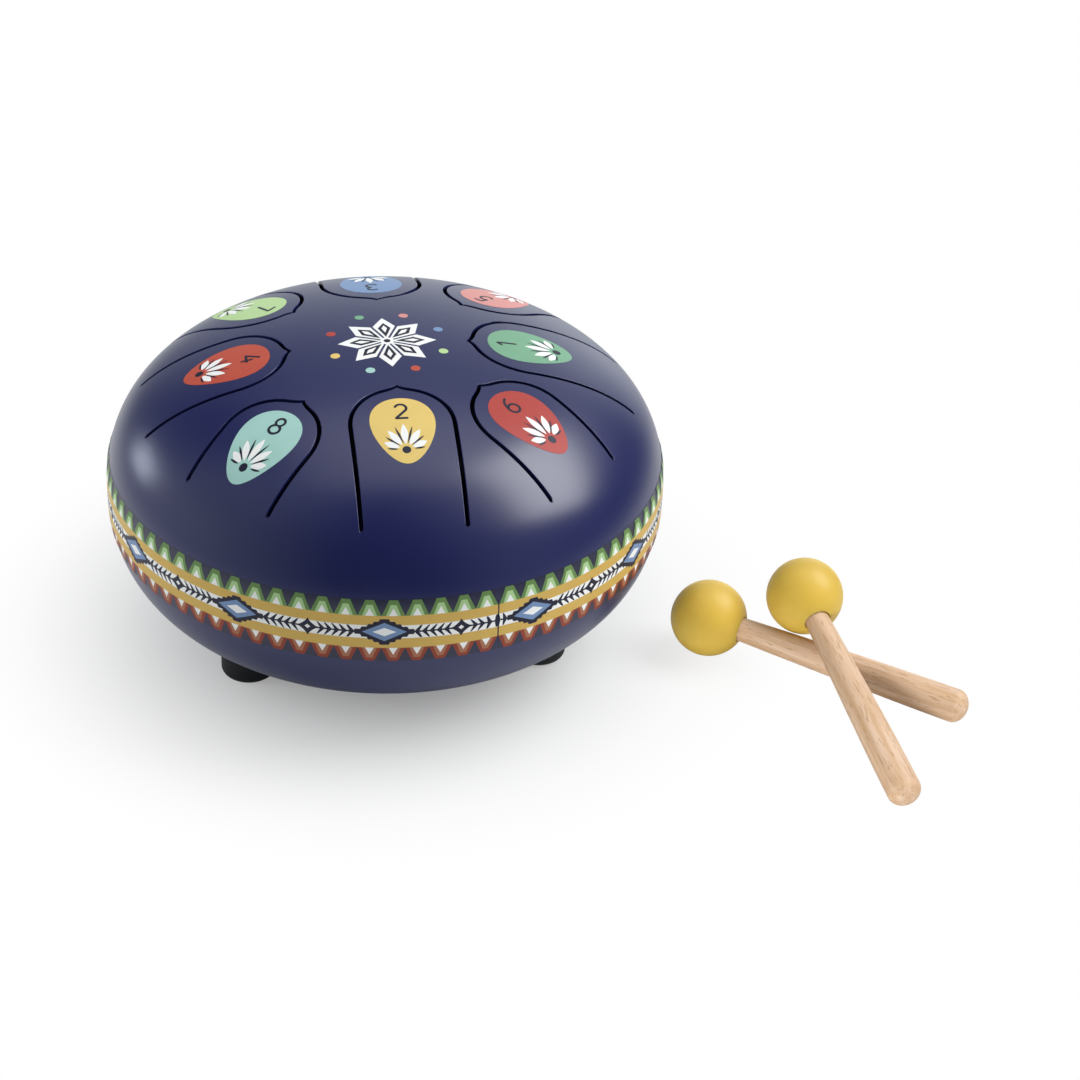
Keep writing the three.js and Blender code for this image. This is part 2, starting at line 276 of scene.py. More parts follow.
def add_node(tree, kind, values=None, **settings):
    """A node with some of its settings changed and some of its inputs set."""
    node = tree.nodes.new(kind)
    for label, setting in settings.items():
        setattr(node, label, setting)
    set_inputs(node, values or {})
    return node


def wire(tree, *wires):
    """Joins nodes. A wire is a node and its output, then the next node and its input."""
    for source, output, target, entry in wires:
        tree.links.new(source.outputs[output], target.inputs[entry])


print("node helpers:", [helper.__name__ for helper in (set_inputs, add_node, wire)])


# %% The mottle group
def make_mottle_group():
    """Colour = base colour times 1 + drift x noise, roughness = base + drift x noise, height = noise."""
    group = bpy.data.node_groups.new("mottle", "ShaderNodeTree")
    numbers = ("Colour drift", "Patch scale", "Roughness", "Roughness drift", "Grain scale")
    entries = {"Vector": "Vector", "Colour": "Color", **dict.fromkeys(numbers, "Float")}
    results = {"Colour": "Color", "Roughness": "Float", "Height": "Float"}
    for in_out, sockets in (("INPUT", entries), ("OUTPUT", results)):
        for label, kind in sockets.items():
            group.interface.new_socket(label, in_out=in_out, socket_type="NodeSocket" + kind)
    given = add_node(group, "NodeGroupInput")
    result = add_node(group, "NodeGroupOutput")
    patches = add_node(group, "ShaderNodeTexNoise", {"Detail": 3.0})
    grain = add_node(group, "ShaderNodeTexNoise", {"Detail": 2.0})
    centred = add_node(group, "ShaderNodeMath", {1: 0.5}, operation="SUBTRACT")
    brighter = add_node(group, "ShaderNodeMath", {2: 1.0}, operation="MULTIPLY_ADD")
    tinted = add_node(group, "ShaderNodeHueSaturation")
    duller = add_node(group, "ShaderNodeMath", operation="MULTIPLY_ADD")
    wire(
        group,
        (given, "Vector", patches, "Vector"),
        (given, "Vector", grain, "Vector"),
        (given, "Patch scale", patches, "Scale"),
        (given, "Grain scale", grain, "Scale"),
        (patches, 0, centred, 0),
        (centred, 0, brighter, 0),
        (given, "Colour drift", brighter, 1),
        (brighter, 0, tinted, "Value"),
        (given, "Colour", tinted, "Color"),
        (centred, 0, duller, 0),
        (given, "Roughness drift", duller, 1),
        (given, "Roughness", duller, 2),
        (tinted, "Color", result, "Colour"),
        (duller, 0, result, "Roughness"),
        (grain, 0, result, "Height"),
    )
    return group


mottle = make_mottle_group()
print("mottle group has", len(mottle.nodes), "nodes")

# %% [markdown]
# ## Finishes made with the group
#
# A finish is a Principled shader fed by the mottle group, with a gentle bump from its grain. The drum's
# paint is a deep navy powder coat: satin, so lamps show in it as broad soft glows, with the faint orange
# peel that baked powder has. The rubber of the mallets' balls lets a little light in, which keeps its
# shade warm. Inks are thinner and more even. Colours could be typed in as the shader's linear values, but
# they are easier to judge as they look on a screen, so they are written that way and changed here.

# %% A finish made with the mottle group
def linear(hex_colour):
    """A screen colour such as "DDB92F" as the linear values that a shader works with."""
    screen = np.array([int(hex_colour[i : i + 2], 16) for i in (0, 2, 4)]) / 255
    return (*np.where(screen <= 0.04045, screen / 12.92, ((screen + 0.055) / 1.055) ** 2.4), 1.0)


def new_material(name):
    """A material that uses nodes, with its tree and its Principled shader."""
    material = bpy.data.materials.new(name)
    material.use_nodes = True
    return material, material.node_tree, material.node_tree.nodes["Principled BSDF"]


def make_finish(
    name, colour, roughness, drift=(0.1, 0.08), scale=(60, 1200), bump=(0.1, 0.05), metallic=0.0, gloss=0.5
):
    """A Principled shader with its colour, roughness and grain from the mottle group. drift is for colour
    and roughness, scale is for patches and grain per metre, bump is strength and depth in mm, and gloss is
    how strongly the surface mirrors."""
    material, tree, shader = new_material(name)
    set_inputs(shader, {"Metallic": metallic, "Specular IOR Level": gloss})
    place = add_node(tree, "ShaderNodeTexCoord")
    values = {"Colour": linear(colour), "Colour drift": drift[0], "Patch scale": scale[0]}
    values |= {"Roughness": roughness, "Roughness drift": drift[1], "Grain scale": scale[1]}
    mix = add_node(tree, "ShaderNodeGroup", values, node_tree=mottle)
    relief = add_node(tree, "ShaderNodeBump", {"Strength": bump[0], "Distance": bump[1] * mm})
    wire(
        tree,
        (place, "Object", mix, "Vector"),
        (mix, "Colour", shader, "Base Color"),
        (mix, "Roughness", shader, "Roughness"),
        (mix, "Height", relief, "Height"),
        (relief, "Normal", shader, "Normal"),
    )
    return material


print("half grey on a screen is", round(linear("808080")[0], 3), "for a shader")

# %% Plain finishes: paint, rubber, sealant and zinc
navy_paint = make_finish(
    "navy_paint", "191F54", 0.3, drift=(0.12, 0.04), scale=(25, 900), bump=(0.06, 0.06), gloss=0.65
)
foot_rubber = make_finish(
    "foot_rubber", "202326", 0.62, drift=(0.3, 0.2), scale=(120, 1600), bump=(0.3, 0.08), gloss=0.35
)
sealant = make_finish("sealant", "2A2A2C", 0.8, drift=(0.3, 0.1))
zinc = make_finish("zinc_steel", "B8BCC0", 0.3, drift=(0.15, 0.2), scale=(300, 2500), metallic=1.0)
ball_rubber = make_finish(
    "ball_rubber", "D2B14B", 0.46, drift=(0.1, 0.1), scale=(70, 1500), bump=(0.12, 0.05), gloss=0.4
)
ball_shader = ball_rubber.node_tree.nodes["Principled BSDF"]
light_in = {"Subsurface Weight": 0.45, "Subsurface Radius": (1, 0.8, 0.4), "Subsurface Scale": 8 * mm}
set_inputs(ball_shader, light_in)
print("finishes:", [material.name for material in bpy.data.materials if material.use_nodes])


# %% The printing inks
def make_ink(name, colour, roughness=0.45, gloss=0.35):
    """A printed colour: satin, thin and even, with a slight drift where the ink lies thicker."""
    thin = {"drift": (0.14, 0.08), "scale": (150, 2500), "bump": (0.08, 0.03)}
    return make_finish("ink_" + name, colour, roughness, gloss=gloss, **thin)


ink_colours = {
    "white": "F2F3F3",
    "navy": "14162F",
    "green": "74A687",
    "amber": "E2C471",
    "blue": "738FB9",
    "orange": "BA4E3C",
    "coral": "D08A86",
    "red": "AE3D36",
    "lime": "B4D396",
    "mint": "A2CDC6",
    "leaf": "67894F",
    "pale_leaf": "A9CC92",
    "stripe": "D2AE5A",
    "brick": "8F3B26",
    "rose": "A86F52",
}
inks = {name: make_ink(name, colour) for name, colour in ink_colours.items()}
inks["film"] = make_ink("film", "12163A", roughness=0.32, gloss=0.6)
print(len(inks), "inks")

# %% [markdown]
# ## The dome as a formula
#
# The dome rises upright from the rim and turns in to an almost level crown. Its outline is one cubic
# curve, and everything on the dome, metal or print, is laid over the plan with it: the distance from the
# axis gives the place on the curve, and the curve gives the height and the normal. A bent grid or a
# sculpted shape would do for one piece, but a formula lets shell, tongues and prints share one surface.

# %% Places on the dome over a plan
dome_land = 2 * mm
shoulder_rise = 27 * mm
crown_reach = 76 * mm
ink_room = 0.12 * mm
dome_handles = [
    (rim_radius, rim_z + dome_land),
    (rim_radius, rim_z + dome_land + shoulder_rise),
    (crown_reach, crown_z - ink_room),
    (0, crown_z - ink_room),
]
look_up_shares = np.linspace(0, 1, 8001)
look_up_radii = bezier(dome_handles, look_up_shares)[:, 0]


def dome_share(radius):
    """The dome curve's share at a distance from the axis, from a finely sampled table of the curve."""
    return np.interp(radius, look_up_radii[::-1], look_up_shares[::-1])


def on_dome(plan, depth=0.0):
    """Points and normals over plan points about the drum's axis. The height is the dome curve's, and the
    point is then moved in along the normal by the depth."""
    radius = np.hypot(plan[..., 0], plan[..., 1])
    curve = bezier(dome_handles, dome_share(radius).ravel()).reshape(*radius.shape, 4)
    outward = plan / np.maximum(radius, 1e-9)[..., None]
    normals = np.concatenate([curve[..., 2:3] * outward, curve[..., 3:]], axis=-1)
    points = np.concatenate([plan, curve[..., 1:2]], axis=-1)
    return points - np.asarray(depth)[..., None] * normals, normals


print("dome height over 50 mm:", round(on_dome(np.array([[0.05, 0]]))[0][0, 2], 4))

# %% [markdown]
# ## The cut of a tongue
#
# A saw cut runs down both sides of a tongue and round an arch at its tip, where the two sides meet in a
# small point. A longer tongue gives a lower note, so the tips don't all lie at the same distance from the
# axis. One side of the outline is written as a straight leg, part of a circle and a short curve to the
# point, and the other side is its mirror image. The plan runs across the tongue in x and out from the
# drum's axis in y. The cut is made in bare steel, and the baked powder then narrows it by its own
# thickness on both sides.

# %% Outlines of a tongue and its slot
tongue_azimuths = np.radians([0, -90, 90, 180, 45, -45, 135, -135])
tip_radii = np.array([29, 29.5, 35, 34.5, 43, 41, 43, 46]) * mm
tongue_width = 36 * mm
saw_cut = 1.8 * mm
powder_thickness = 0.16 * mm
slot_width = saw_cut - 2 * powder_thickness
root_radius = rim_radius - 14 * mm
cusp_height = 1.7 * mm
cusp_width = 10 * mm
cusp_flare = 3 * mm
leg_steps, arch_steps, cusp_steps = 14, 16, 8
mirror = np.array([-1, 1])


def arched_side(half, arch_y):
    """One side of an arched outline from root to tip, and normals that look away from the tongue: a leg
    at x = half, a circle of that radius about (0, arch_y), and a quadratic curve to the point."""
    lean = np.arcsin(cusp_width / 2 / half)
    leg_y = np.linspace(root_radius, arch_y, leg_steps, endpoint=False)
    leg = pairs(half, leg_y)
    turn = np.linspace(0, np.pi / 2 - lean, arch_steps, endpoint=False)
    bow_facing = circle(-turn)
    bow = np.array([0, arch_y]) + half * bow_facing
    start = np.array([half * np.sin(lean), arch_y - half * np.cos(lean)])
    flare = start + np.array([-1, -np.tan(lean)]) * (start[0] - cusp_flare / 2)
    tip = np.array([0, arch_y - half - cusp_height])
    t = np.linspace(0, 1, cusp_steps + 1)[:, None]
    cusp = (1 - t) ** 2 * start + 2 * t * (1 - t) * flare + t**2 * tip
    cusp_facing = -right_of(unit((1 - t) * (flare - start) + t * (tip - flare)))
    cusp_facing[-1] = (0, -1)
    leg_facing = np.tile([1.0, 0.0], (leg_steps, 1))
    return np.vstack([leg, bow, cusp]), np.vstack([leg_facing, bow_facing, cusp_facing])


def both_sides(side):
    """A side from root to tip, and its mirror image back to the root."""
    return np.vstack([side, side[-2::-1] * mirror])


def turned_to(azimuth, plan):
    """Plan points of a tongue, x across and y out, turned to the tongue's azimuth."""
    out = circle(azimuth)
    return plan[..., :1] * right_of(out) + plan[..., 1:] * out


arch_centres = tip_radii + cusp_height + tongue_width / 2
print("one side of a tongue has", len(arched_side(tongue_width / 2, arch_centres[0])[0]), "points")

# %% [markdown]
# ## Sheet steel with a cut edge
#
# Shell and tongue are the same sheet steel, so one function makes both: the outside face runs from a far
# line to the cut, turns over a small rounding, goes down the cut and comes back along the inside face.
# Solidify and Bevel could thicken a flat grid, but they would round the root too, where the steel
# runs on. Here each column says whether its edge is really cut.

# %% Steel between a far line and a cut edge
edge_round = 0.22 * mm
inner_round = 0.1 * mm
face_steps, edge_steps = 10, 4
steel_rows = face_steps + 1 + edge_steps


def steel(far, edge, away, cut, closed):
    """Sheet steel on the dome over plan lines. far and edge are lines of points, away looks off the steel
    at the edge, and cut is 1 where the edge is cut and 0 where the steel runs on."""
    share = np.linspace(0, 1, face_steps + 1)[:, None, None]
    swing = np.linspace(0, np.pi / 2, edge_steps + 1)[1:, None]
    over, drop = cut * np.sin(swing), cut * (1 - np.cos(swing))
    to_go = (1 - np.sin(swing))[..., None]
    outer, inner = (away * (rounding * cut)[:, None] for rounding in (edge_round, inner_round))
    plan = np.concatenate([
        far + (edge - outer - far) * share,
        edge - outer * to_go,
        edge - inner * to_go[::-1],
        far + (edge - inner - far) * share[::-1],
    ])
    level = np.zeros((face_steps + 1, len(far)))
    down = level + shell_wall
    depth = np.concatenate([level, edge_round * drop, shell_wall - inner_round * drop[::-1], down])
    upward = np.concatenate([level + 1, 1 - drop, drop[::-1] - 1, level - 1])
    sideways = np.concatenate([level, over, over[::-1], level])
    points, normals = on_dome(plan, depth)
    off = np.concatenate([np.broadcast_to(away, plan.shape), np.zeros((*plan.shape[:2], 1))], axis=-1)
    off = unit(off - np.sum(off * normals, axis=-1, keepdims=True) * normals)
    normals = unit(normals * upward[..., None] + off * sideways[..., None])
    return grid(points, normals, round_columns=closed)


print("sheet steel has", 2 * steel_rows, "rows of points")

# %% [markdown]
# ## The upper shell
#
# The dome is cut into eight equal slices, one round each slot. In a slice the steel runs from the slot's
# outline to the slice's own border, so the grid follows the cut exactly and no boolean is needed. The
# border is the same for all slices, and so they join up. Outside them a plain turned skirt goes down to
# the rim and back up the inside.

# %% The outline of a slot
slot_end_steps = 8
tongue_half = (tongue_width - slot_width) / 2


def slot_side(arch_y):
    """One side of a slot's outline from the middle of the root to the tip: along the root, round the
    slot's end and up the arch. Gives points, normals that look into the steel, and where it is cut."""
    root_x = np.append((tongue_half - edge_round) * np.linspace(0, 1, face_steps + 1), tongue_half)
    root = pairs(root_x, root_radius)
    swing = np.linspace(np.pi, 0, slot_end_steps + 1)[1:-1]
    end_facing = circle(swing)
    end = np.array([tongue_width / 2, root_radius]) + slot_width / 2 * end_facing
    arch, arch_facing = arched_side((tongue_width + slot_width) / 2, arch_y)
    facing = np.vstack([np.tile([0.0, 1.0], (len(root), 1)), end_facing, arch_facing])
    cut = np.concatenate([np.zeros(len(root)), np.ones(len(end) + len(arch))])
    return np.vstack([root, end, arch]), facing, cut


print("one side of a slot has", len(slot_side(arch_centres[0])[0]), "points")

# %% The border of a slice
slice_half = np.pi / len(tongue_azimuths)
skirt_radius = 92 * mm
arch_border, cusp_border = 60 * mm, 14 * mm
rim_side_count = face_steps + 2 + slot_end_steps - 1
border_turn = np.linspace(0, slice_half, rim_side_count + 1)
border_arc = skirt_radius * pairs(np.sin(border_turn), np.cos(border_turn))
border_radii = np.concatenate([
    np.linspace(skirt_radius, arch_border, leg_steps + 1)[1:],
    np.linspace(arch_border, cusp_border, arch_steps + 1)[1:],
    np.linspace(cusp_border, 0, cusp_steps + 1)[1:],
])
border_ray = border_radii[:, None] * pairs(np.sin(slice_half), np.cos(slice_half))
border_side = np.vstack([border_arc, border_ray])
print("one side of a slice's border has", len(border_side), "points")

# %% Make the upper shell
seam_half = 0.9 * mm
dome_edge_z = rim_z + seam_half
lip_round = 0.2 * mm
skirt_rows = 25


def inner_side(outside):
    """The inner face of a pressed wall: its outer profile moved in by the wall, facing the other way."""
    return np.hstack([outside[:, :2] - shell_wall * outside[:, 2:], -outside[:, 2:]])


slices = []
for azimuth, arch_y in zip(tongue_azimuths, arch_centres):
    outline, facing, cut = slot_side(arch_y)
    far = turned_to(azimuth, both_sides(border_side)[:-1])
    edge = turned_to(azimuth, both_sides(outline)[:-1])
    away = turned_to(azimuth, -both_sides(facing)[:-1])
    whole_cut = np.concatenate([cut, cut[-2::-1]])[:-1]
    slices.append(steel(far, edge, away, whole_cut, closed=True))

outside = bezier(dome_handles, np.linspace(dome_share(skirt_radius), 0, skirt_rows))
lip = rounded([
    (rim_radius - shell_wall, rim_z + dome_land, 0),
    (rim_radius - shell_wall, dome_edge_z, lip_round),
    (rim_radius, dome_edge_z, lip_round),
    (rim_radius, rim_z + dome_land, 0),
])
half_slice = np.concatenate([-border_turn[:0:-1], border_turn[:-1]])
skirt_angles = (even_angles(len(tongue_azimuths))[:, None] + half_slice).ravel()
skirt = turned(np.vstack([inner_side(outside), lip, outside[::-1]]), skirt_angles)

upper_shell = make_piece("dome", shifted(together([*slices, skirt]), drum_axis), [navy_paint])
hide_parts("upper_shell")
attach(upper_shell, "drum")

# %% [markdown]
# ## The tongues
#
# A tongue is the steel inside its slot. Its far line is its own middle, so the grid fans out from there to
# the cut and closes on itself. The real tongue has no hinge: it bends near its root when it is struck.
# Its mesh meets the shell point for point at the root, and no seam shows.

# %% Make the tongues
tongue_names = [f"tongue_{i + 1}" for i in range(len(tongue_azimuths))]


def bend_from_root(piece):
    """Bakes the piece's placement into its mesh."""
    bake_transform(piece)


def closed_ends(sheet, columns, half):
    """Closes both ends of a strip whose front rows come first, and as many rows of its back after them."""
    number = np.arange(len(sheet.points)).reshape(-1, columns)
    front, back = number[:half], number[half : 2 * half][::-1]
    rows = front[:-1], front[1:], back[1:], back[:-1]
    first = np.stack([row[:, 0] for row in rows], axis=-1)
    last = np.stack([row[:, -1] for row in rows[::-1]], axis=-1)
    finish = np.append(sheet.finish, np.zeros(len(first) + len(last), int))
    return sheet._replace(faces=np.vstack([sheet.faces, first, last]), finish=finish)


def make_tongue(name, azimuth, arch_y):
    """The steel of one tongue, with its root closed by faces between the outside and inside rows."""
    outline, facing = arched_side(tongue_half, arch_y)
    edge, away = both_sides(outline), both_sides(facing)
    middle = pairs(0, np.maximum(edge[:, 1], arch_y))
    lines = [turned_to(azimuth, line) for line in (middle, edge, away)]
    sheet = closed_ends(steel(*lines, np.ones(len(edge)), closed=False), len(edge), steel_rows)
    return make_piece(name + "_steel", shifted(sheet, drum_axis), [navy_paint])


for name, azimuth, arch_y in zip(tongue_names, tongue_azimuths, arch_centres):
    tongue = make_tongue(name, azimuth, arch_y)
    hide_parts(name)
    bend_from_root(tongue)

# %% [markdown]
# ## Prints that lie on the dome
#
# The prints are ink, far thinner than the steel, but they are made as real shapes rather than painted by
# a shader, because a shape stays crisp however close the view comes. Each shape is a path in the plan
# with a width at each step, laid on the dome as a closed slab a few hundredths of a millimetre thick.
# Ends where the width shrinks to nothing close themselves.

# %% Helpers for prints
ink_sink = 0.05 * mm


def inked(path, half_width, lift, finish, columns=7):
    """A printed shape: at each step of a plan path a row of points across it, half_width to either side,
    lift above the dome and back just under it."""
    ways = unit(np.gradient(path, axis=0))
    spread = np.linspace(-1, 1, columns)[:, None]
    offsets = right_of(ways)[:, None] * (half_width[:, None, None] * spread)
    plan = np.concatenate([path[:, None] + offsets, path[:, None] + offsets[:, ::-1]], axis=1)
    depth = np.concatenate([np.full(columns, -lift), np.full(columns, ink_sink)])
    depth = np.broadcast_to(depth, plan.shape[:2])
    points, normals = on_dome(plan, depth)
    normals = normals * np.where(depth > 0, -1, 1)[..., None]
    return grid(points, normals, finish, round_columns=True)


def lens(start, end, half_width, lift, finish, sharp=1.0, steps=16, columns=7):
    """A leaf between two plan points, width = half_width x sin(pi t) to the power sharp."""
    t = np.linspace(0, 1, steps + 1)
    path = start + (end - start) * t[:, None]
    return inked(path, half_width * np.sin(np.pi * t).clip(0) ** sharp, lift, finish, columns)


def dot(centre, radius, lift, finish, steps=16):
    """A round dot: rows along its diameter, each as long as the chord there."""
    swing = np.linspace(0, np.pi, steps + 1)
    path = centre + pairs(-radius * np.cos(swing), 0)
    return inked(path, radius * np.sin(swing).clip(0), lift, finish)


def kite(start, end, half_width, widest, lift, finish):
    """A four-cornered kite: its width grows evenly to half_width at the widest share, then shrinks."""
    t = np.array([0, widest / 2, widest, (1 + widest) / 2, 1])
    path = start + (end - start) * t[:, None]
    return inked(path, half_width * np.interp(t, [0, widest, 1], [0, 1, 0]), lift, finish)


print("a dot has", len(dot(np.zeros(2), 1 * mm, ink_sink, 0).faces), "faces")

# %% [markdown]
# ## Numbers drawn with a pen
#
# Each tongue carries its number, so that a player can follow a sheet of numbered notes. A font could be
# used, but a single round pen stroke is closer to the even line of the print. A number is one or two
# strokes made of arcs and straight lines, and a stroke becomes a ribbon with round ends.

# %% Strokes of the numbers
arc_points, cap_points = 25, 5


def arc(x, y, wide, high, start, end):
    """Points of an ellipse about (x, y) from one angle in degrees to another."""
    angle = np.radians(np.linspace(start, end, arc_points))
    return np.array([x, y]) + circle(angle) * (wide, high)


def bent(*points):
    """Points of a line with corners."""
    return np.array(points, float)


number_strokes = [
    [bent((-0.2, 0.76), (0.06, 1), (0.06, 0))],
    [np.vstack([arc(0, 0.72, 0.28, 0.28, 170, -40), bent((-0.3, 0), (0.32, 0))])],
    [arc(0, 0.75, 0.25, 0.25, 155, -80), arc(0, 0.26, 0.29, 0.26, 88, -155)],
    [bent((0.1, 1), (-0.32, 0.3), (0.34, 0.3)), bent((0.14, 0.62), (0.14, 0))],
    [np.vstack([bent((0.26, 1), (-0.2, 1), (-0.22, 0.54)), arc(0, 0.31, 0.29, 0.31, 130, -150)])],
    [np.vstack([arc(0.3, 0.3, 0.59, 0.72, 100, 180), arc(0, 0.29, 0.29, 0.29, 180, 520)])],
    [bent((-0.3, 1), (0.3, 1), (-0.08, 0))],
    [arc(0, 0.76, 0.23, 0.24, -90, 265), arc(0, 0.27, 0.29, 0.27, 90, 445)],
]


def ribbon(stroke, half_width, lift, finish):
    """A pen stroke in the plan: resampled along its length, with ends rounded off as half circles."""
    lengths = np.append(0, np.cumsum(np.linalg.norm(np.diff(stroke, axis=0), axis=1)))
    swing = np.linspace(0, np.pi / 2, cap_points)
    cap = half_width * (1 - np.cos(swing))
    count = int(lengths[-1] / (0.5 * half_width))
    along = np.concatenate([cap, np.linspace(half_width, lengths[-1] - half_width, count)[1:-1]])
    along = np.concatenate([along, lengths[-1] - cap[::-1]])
    path = pairs(*(np.interp(along, lengths, row) for row in stroke.T))
    ends = np.concatenate([np.sin(swing), np.ones(len(along) - 2 * len(swing)), np.sin(swing[::-1])])
    return inked(path, half_width * ends, lift, finish, columns=3)


print("strokes of the numbers:", [len(strokes) for strokes in number_strokes])

# %% [markdown]
# ## Medallions on the tongues
#
# Every tongue has an egg-shaped medallion in its own bright colour, wide end towards the tip. On it are
# the number and, below, a palmette: a fan of white leaves with fine dark rays between them, an ornament
# as old as painted pottery. All of it is one mesh with three inks.

# %% The palmette
ink_lifts = np.array([0.05, 0.08, 0.11]) * mm
leaf_angles, leaf_reaches = [-64, -32, 0, 32, 64], [8.2, 10.4, 11.6, 10.4, 8.2]
leaf_start, leaf_shape = 2.4 * mm, {"half_width": 1.25 * mm, "finish": 1, "sharp": 0.9}
ray_angles, ray_reaches = [-82, -48, -16, 16, 48, 82], [6.6, 9, 10.8, 10.8, 9, 6.6]
ray_start, ray_shape = 2.8 * mm, {"half_width": 0.38 * mm, "finish": 2, "sharp": 0.8, "columns": 3}
eye_radius = 1.5 * mm


def fan(base, place, angles, reaches, start, shape):
    """Lenses round a base point, at angles in degrees, each from the start to its own reach in mm."""
    parts = []
    for angle, reach in zip(np.radians(angles), np.array(reaches) * mm):
        way = right_of(circle(angle))
        ends = place(np.array([base + way * start, base + way * reach]))
        parts.append(lens(*ends, lift=ink_lifts[1], **shape))
    return parts


def palmette(base, place):
    """White leaves fanned about a base point, dark rays between them and a dark dot at the base."""
    leaves = fan(base, place, leaf_angles, leaf_reaches, leaf_start, leaf_shape)
    rays = fan(base, place, ray_angles, ray_reaches, ray_start, ray_shape)
    return [*leaves, *rays, dot(place(base), eye_radius, ink_lifts[1], 2)]


print("a palmette has", len(leaf_angles), "leaves and", len(ray_angles), "rays")

# %% Make the medallions
medallion_inset = 7 * mm
medallion_length = 30.5 * mm
medallion_half = 11 * mm
egg_lean = 0.24
egg_rows, egg_columns = 41, 17
number_height = 7 * mm
number_inset = 3.4 * mm
palmette_inset = 5.6 * mm
pen_half = 0.46 * mm
stroke_lift = 0.01 * mm
medallion_inks = ["green", "amber", "blue", "orange", "coral", "red", "lime", "mint"]


def make_medallion(name, azimuth, tip, strokes, colour):
    """An egg of ink, width = half x sin a (1 + lean cos a) along its length, with a number and a
    palmette."""
    def place(plan):
        return turned_to(azimuth, plan)

    swing = np.linspace(0, np.pi, egg_rows)
    start = tip + medallion_inset
    along = start + medallion_length * (1 - np.cos(swing)) / 2
    egg_path = place(pairs(0, along))
    egg_width = medallion_half * np.sin(swing).clip(0) * (1 + egg_lean * np.cos(swing))
    parts = [inked(egg_path, egg_width, ink_lifts[0], 0, egg_columns)]
    parts += palmette(np.array([0, start + medallion_length - palmette_inset]), place)
    number_foot = np.array([0, start + number_inset + number_height])
    for step, stroke in enumerate(strokes):
        drawn = place(number_foot - stroke * number_height)
        parts.append(ribbon(drawn, pen_half, ink_lifts[2] + step * stroke_lift, 2))
    materials = [inks[colour], inks["white"], inks["navy"]]
    return make_piece(name + "_print", shifted(together(parts), drum_axis), materials)


for i, name in enumerate(tongue_names):
    medallion = make_medallion(name, tongue_azimuths[i], tip_radii[i], number_strokes[i], medallion_inks[i])
    bend_from_root(medallion)

# %% [markdown]
# ## The star on the crown
#
# The crown carries a white eight-pointed star, an old quilt and tile figure, with small coloured dots
# between its points. Each point is a kite, so the star is eight kites round the axis. Smaller dark kites
# lie on them and leave white outlines, and a ring of dots closes the figure.

# %% Make the star
star_points = 8
star_kites = [(1, 17.5, 4, 0.6, 0), (3, 13.5, 2.3, 0.62, 1), (6, 11.5, 1, 0.6, 0)]
star_eyes = [(2.4 * mm, 0), (1.2 * mm, 1)]
dot_circle, dot_radius = 20.7 * mm, 1.7 * mm
dot_inks = ["blue", "coral", "green", "red", "amber", "mint", "orange", "lime"]


def make_star():
    """Kites at even angles: white ones, dark ones on them, white ones on those, and dots between. A row of
    star_kites gives start, end and half width in mm, the share where it is widest, and the ink."""
    parts = []
    for step, angle in enumerate(even_angles(star_points)):
        way, between = circle(np.array([angle, angle + np.pi / star_points]))
        for lift, (start, end, half, widest, ink) in zip(ink_lifts, star_kites):
            parts.append(kite(way * start * mm, way * end * mm, half * mm, widest, lift, ink))
        parts.append(dot(between * dot_circle, dot_radius, ink_lifts[0], 2 + step))
    for lift, (radius, ink) in zip(ink_lifts[1:], star_eyes):
        parts.append(dot(np.zeros(2), radius, lift, ink, steps=24))
    materials = [inks["white"], inks["navy"], *(inks[colour] for colour in dot_inks)]
    return make_piece("crown_star", shifted(together(parts), drum_axis), materials)


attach(make_star(), "drum")

# %% [markdown]
# ## The lower shell
#
# Below the rim a pressed bowl closes the drum. Its flat base has a round sound hole with a turned-up
# edge, and its upper edge steps in to a lip that goes up inside the dome. All of that is one closed
# profile, so the bowl is turned like a pot.

# %% Make the lower shell
base_radius = 70 * mm
base_reach = 7 * mm
bilge_drop = 28 * mm
hole_radius = 28 * mm
hole_lip = 3 * mm
bowl_edge_z = rim_z - seam_half
joggle_top_z = bowl_edge_z - shell_wall
joggle_foot_z = joggle_top_z - 3 * mm
lip_radius = rim_radius - shell_wall - 0.6 * mm
lip_top_z = rim_z + 6 * mm
bowl_rows, bowl_sides = 49, 192
bowl_handles = [
    (base_radius, base_z),
    (base_radius + base_reach, base_z),
    (rim_radius, joggle_foot_z - bilge_drop),
    (rim_radius, joggle_foot_z),
]
bowl_outside = bezier(bowl_handles, np.linspace(0, 1, bowl_rows))
collar = rounded([
    (base_radius, base_z + shell_wall, 0),
    (hole_radius + shell_wall, base_z + shell_wall, 0.8 * mm),
    (hole_radius + shell_wall, base_z + hole_lip, 0.4 * mm),
    (hole_radius, base_z + hole_lip, 0.4 * mm),
    (hole_radius, base_z, 1.6 * mm),
    (base_radius, base_z, 0),
])
joggle = rounded([
    (rim_radius, joggle_foot_z, 0),
    (rim_radius, bowl_edge_z, 0.3 * mm),
    (lip_radius, bowl_edge_z, 0.2 * mm),
    (lip_radius, lip_top_z, 0.4 * mm),
    (lip_radius - shell_wall, lip_top_z, 0.4 * mm),
    (lip_radius - shell_wall, joggle_top_z, 1 * mm),
    (rim_radius - shell_wall, joggle_foot_z, 0),
])
bowl_profile = np.vstack([collar, bowl_outside, joggle, inner_side(bowl_outside)[::-1]])
bowl = turned(bowl_profile, even_angles(bowl_sides))
lower_shell = make_piece("bowl", shifted(bowl, drum_axis), [navy_paint])
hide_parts("lower_shell")
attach(lower_shell, "drum")

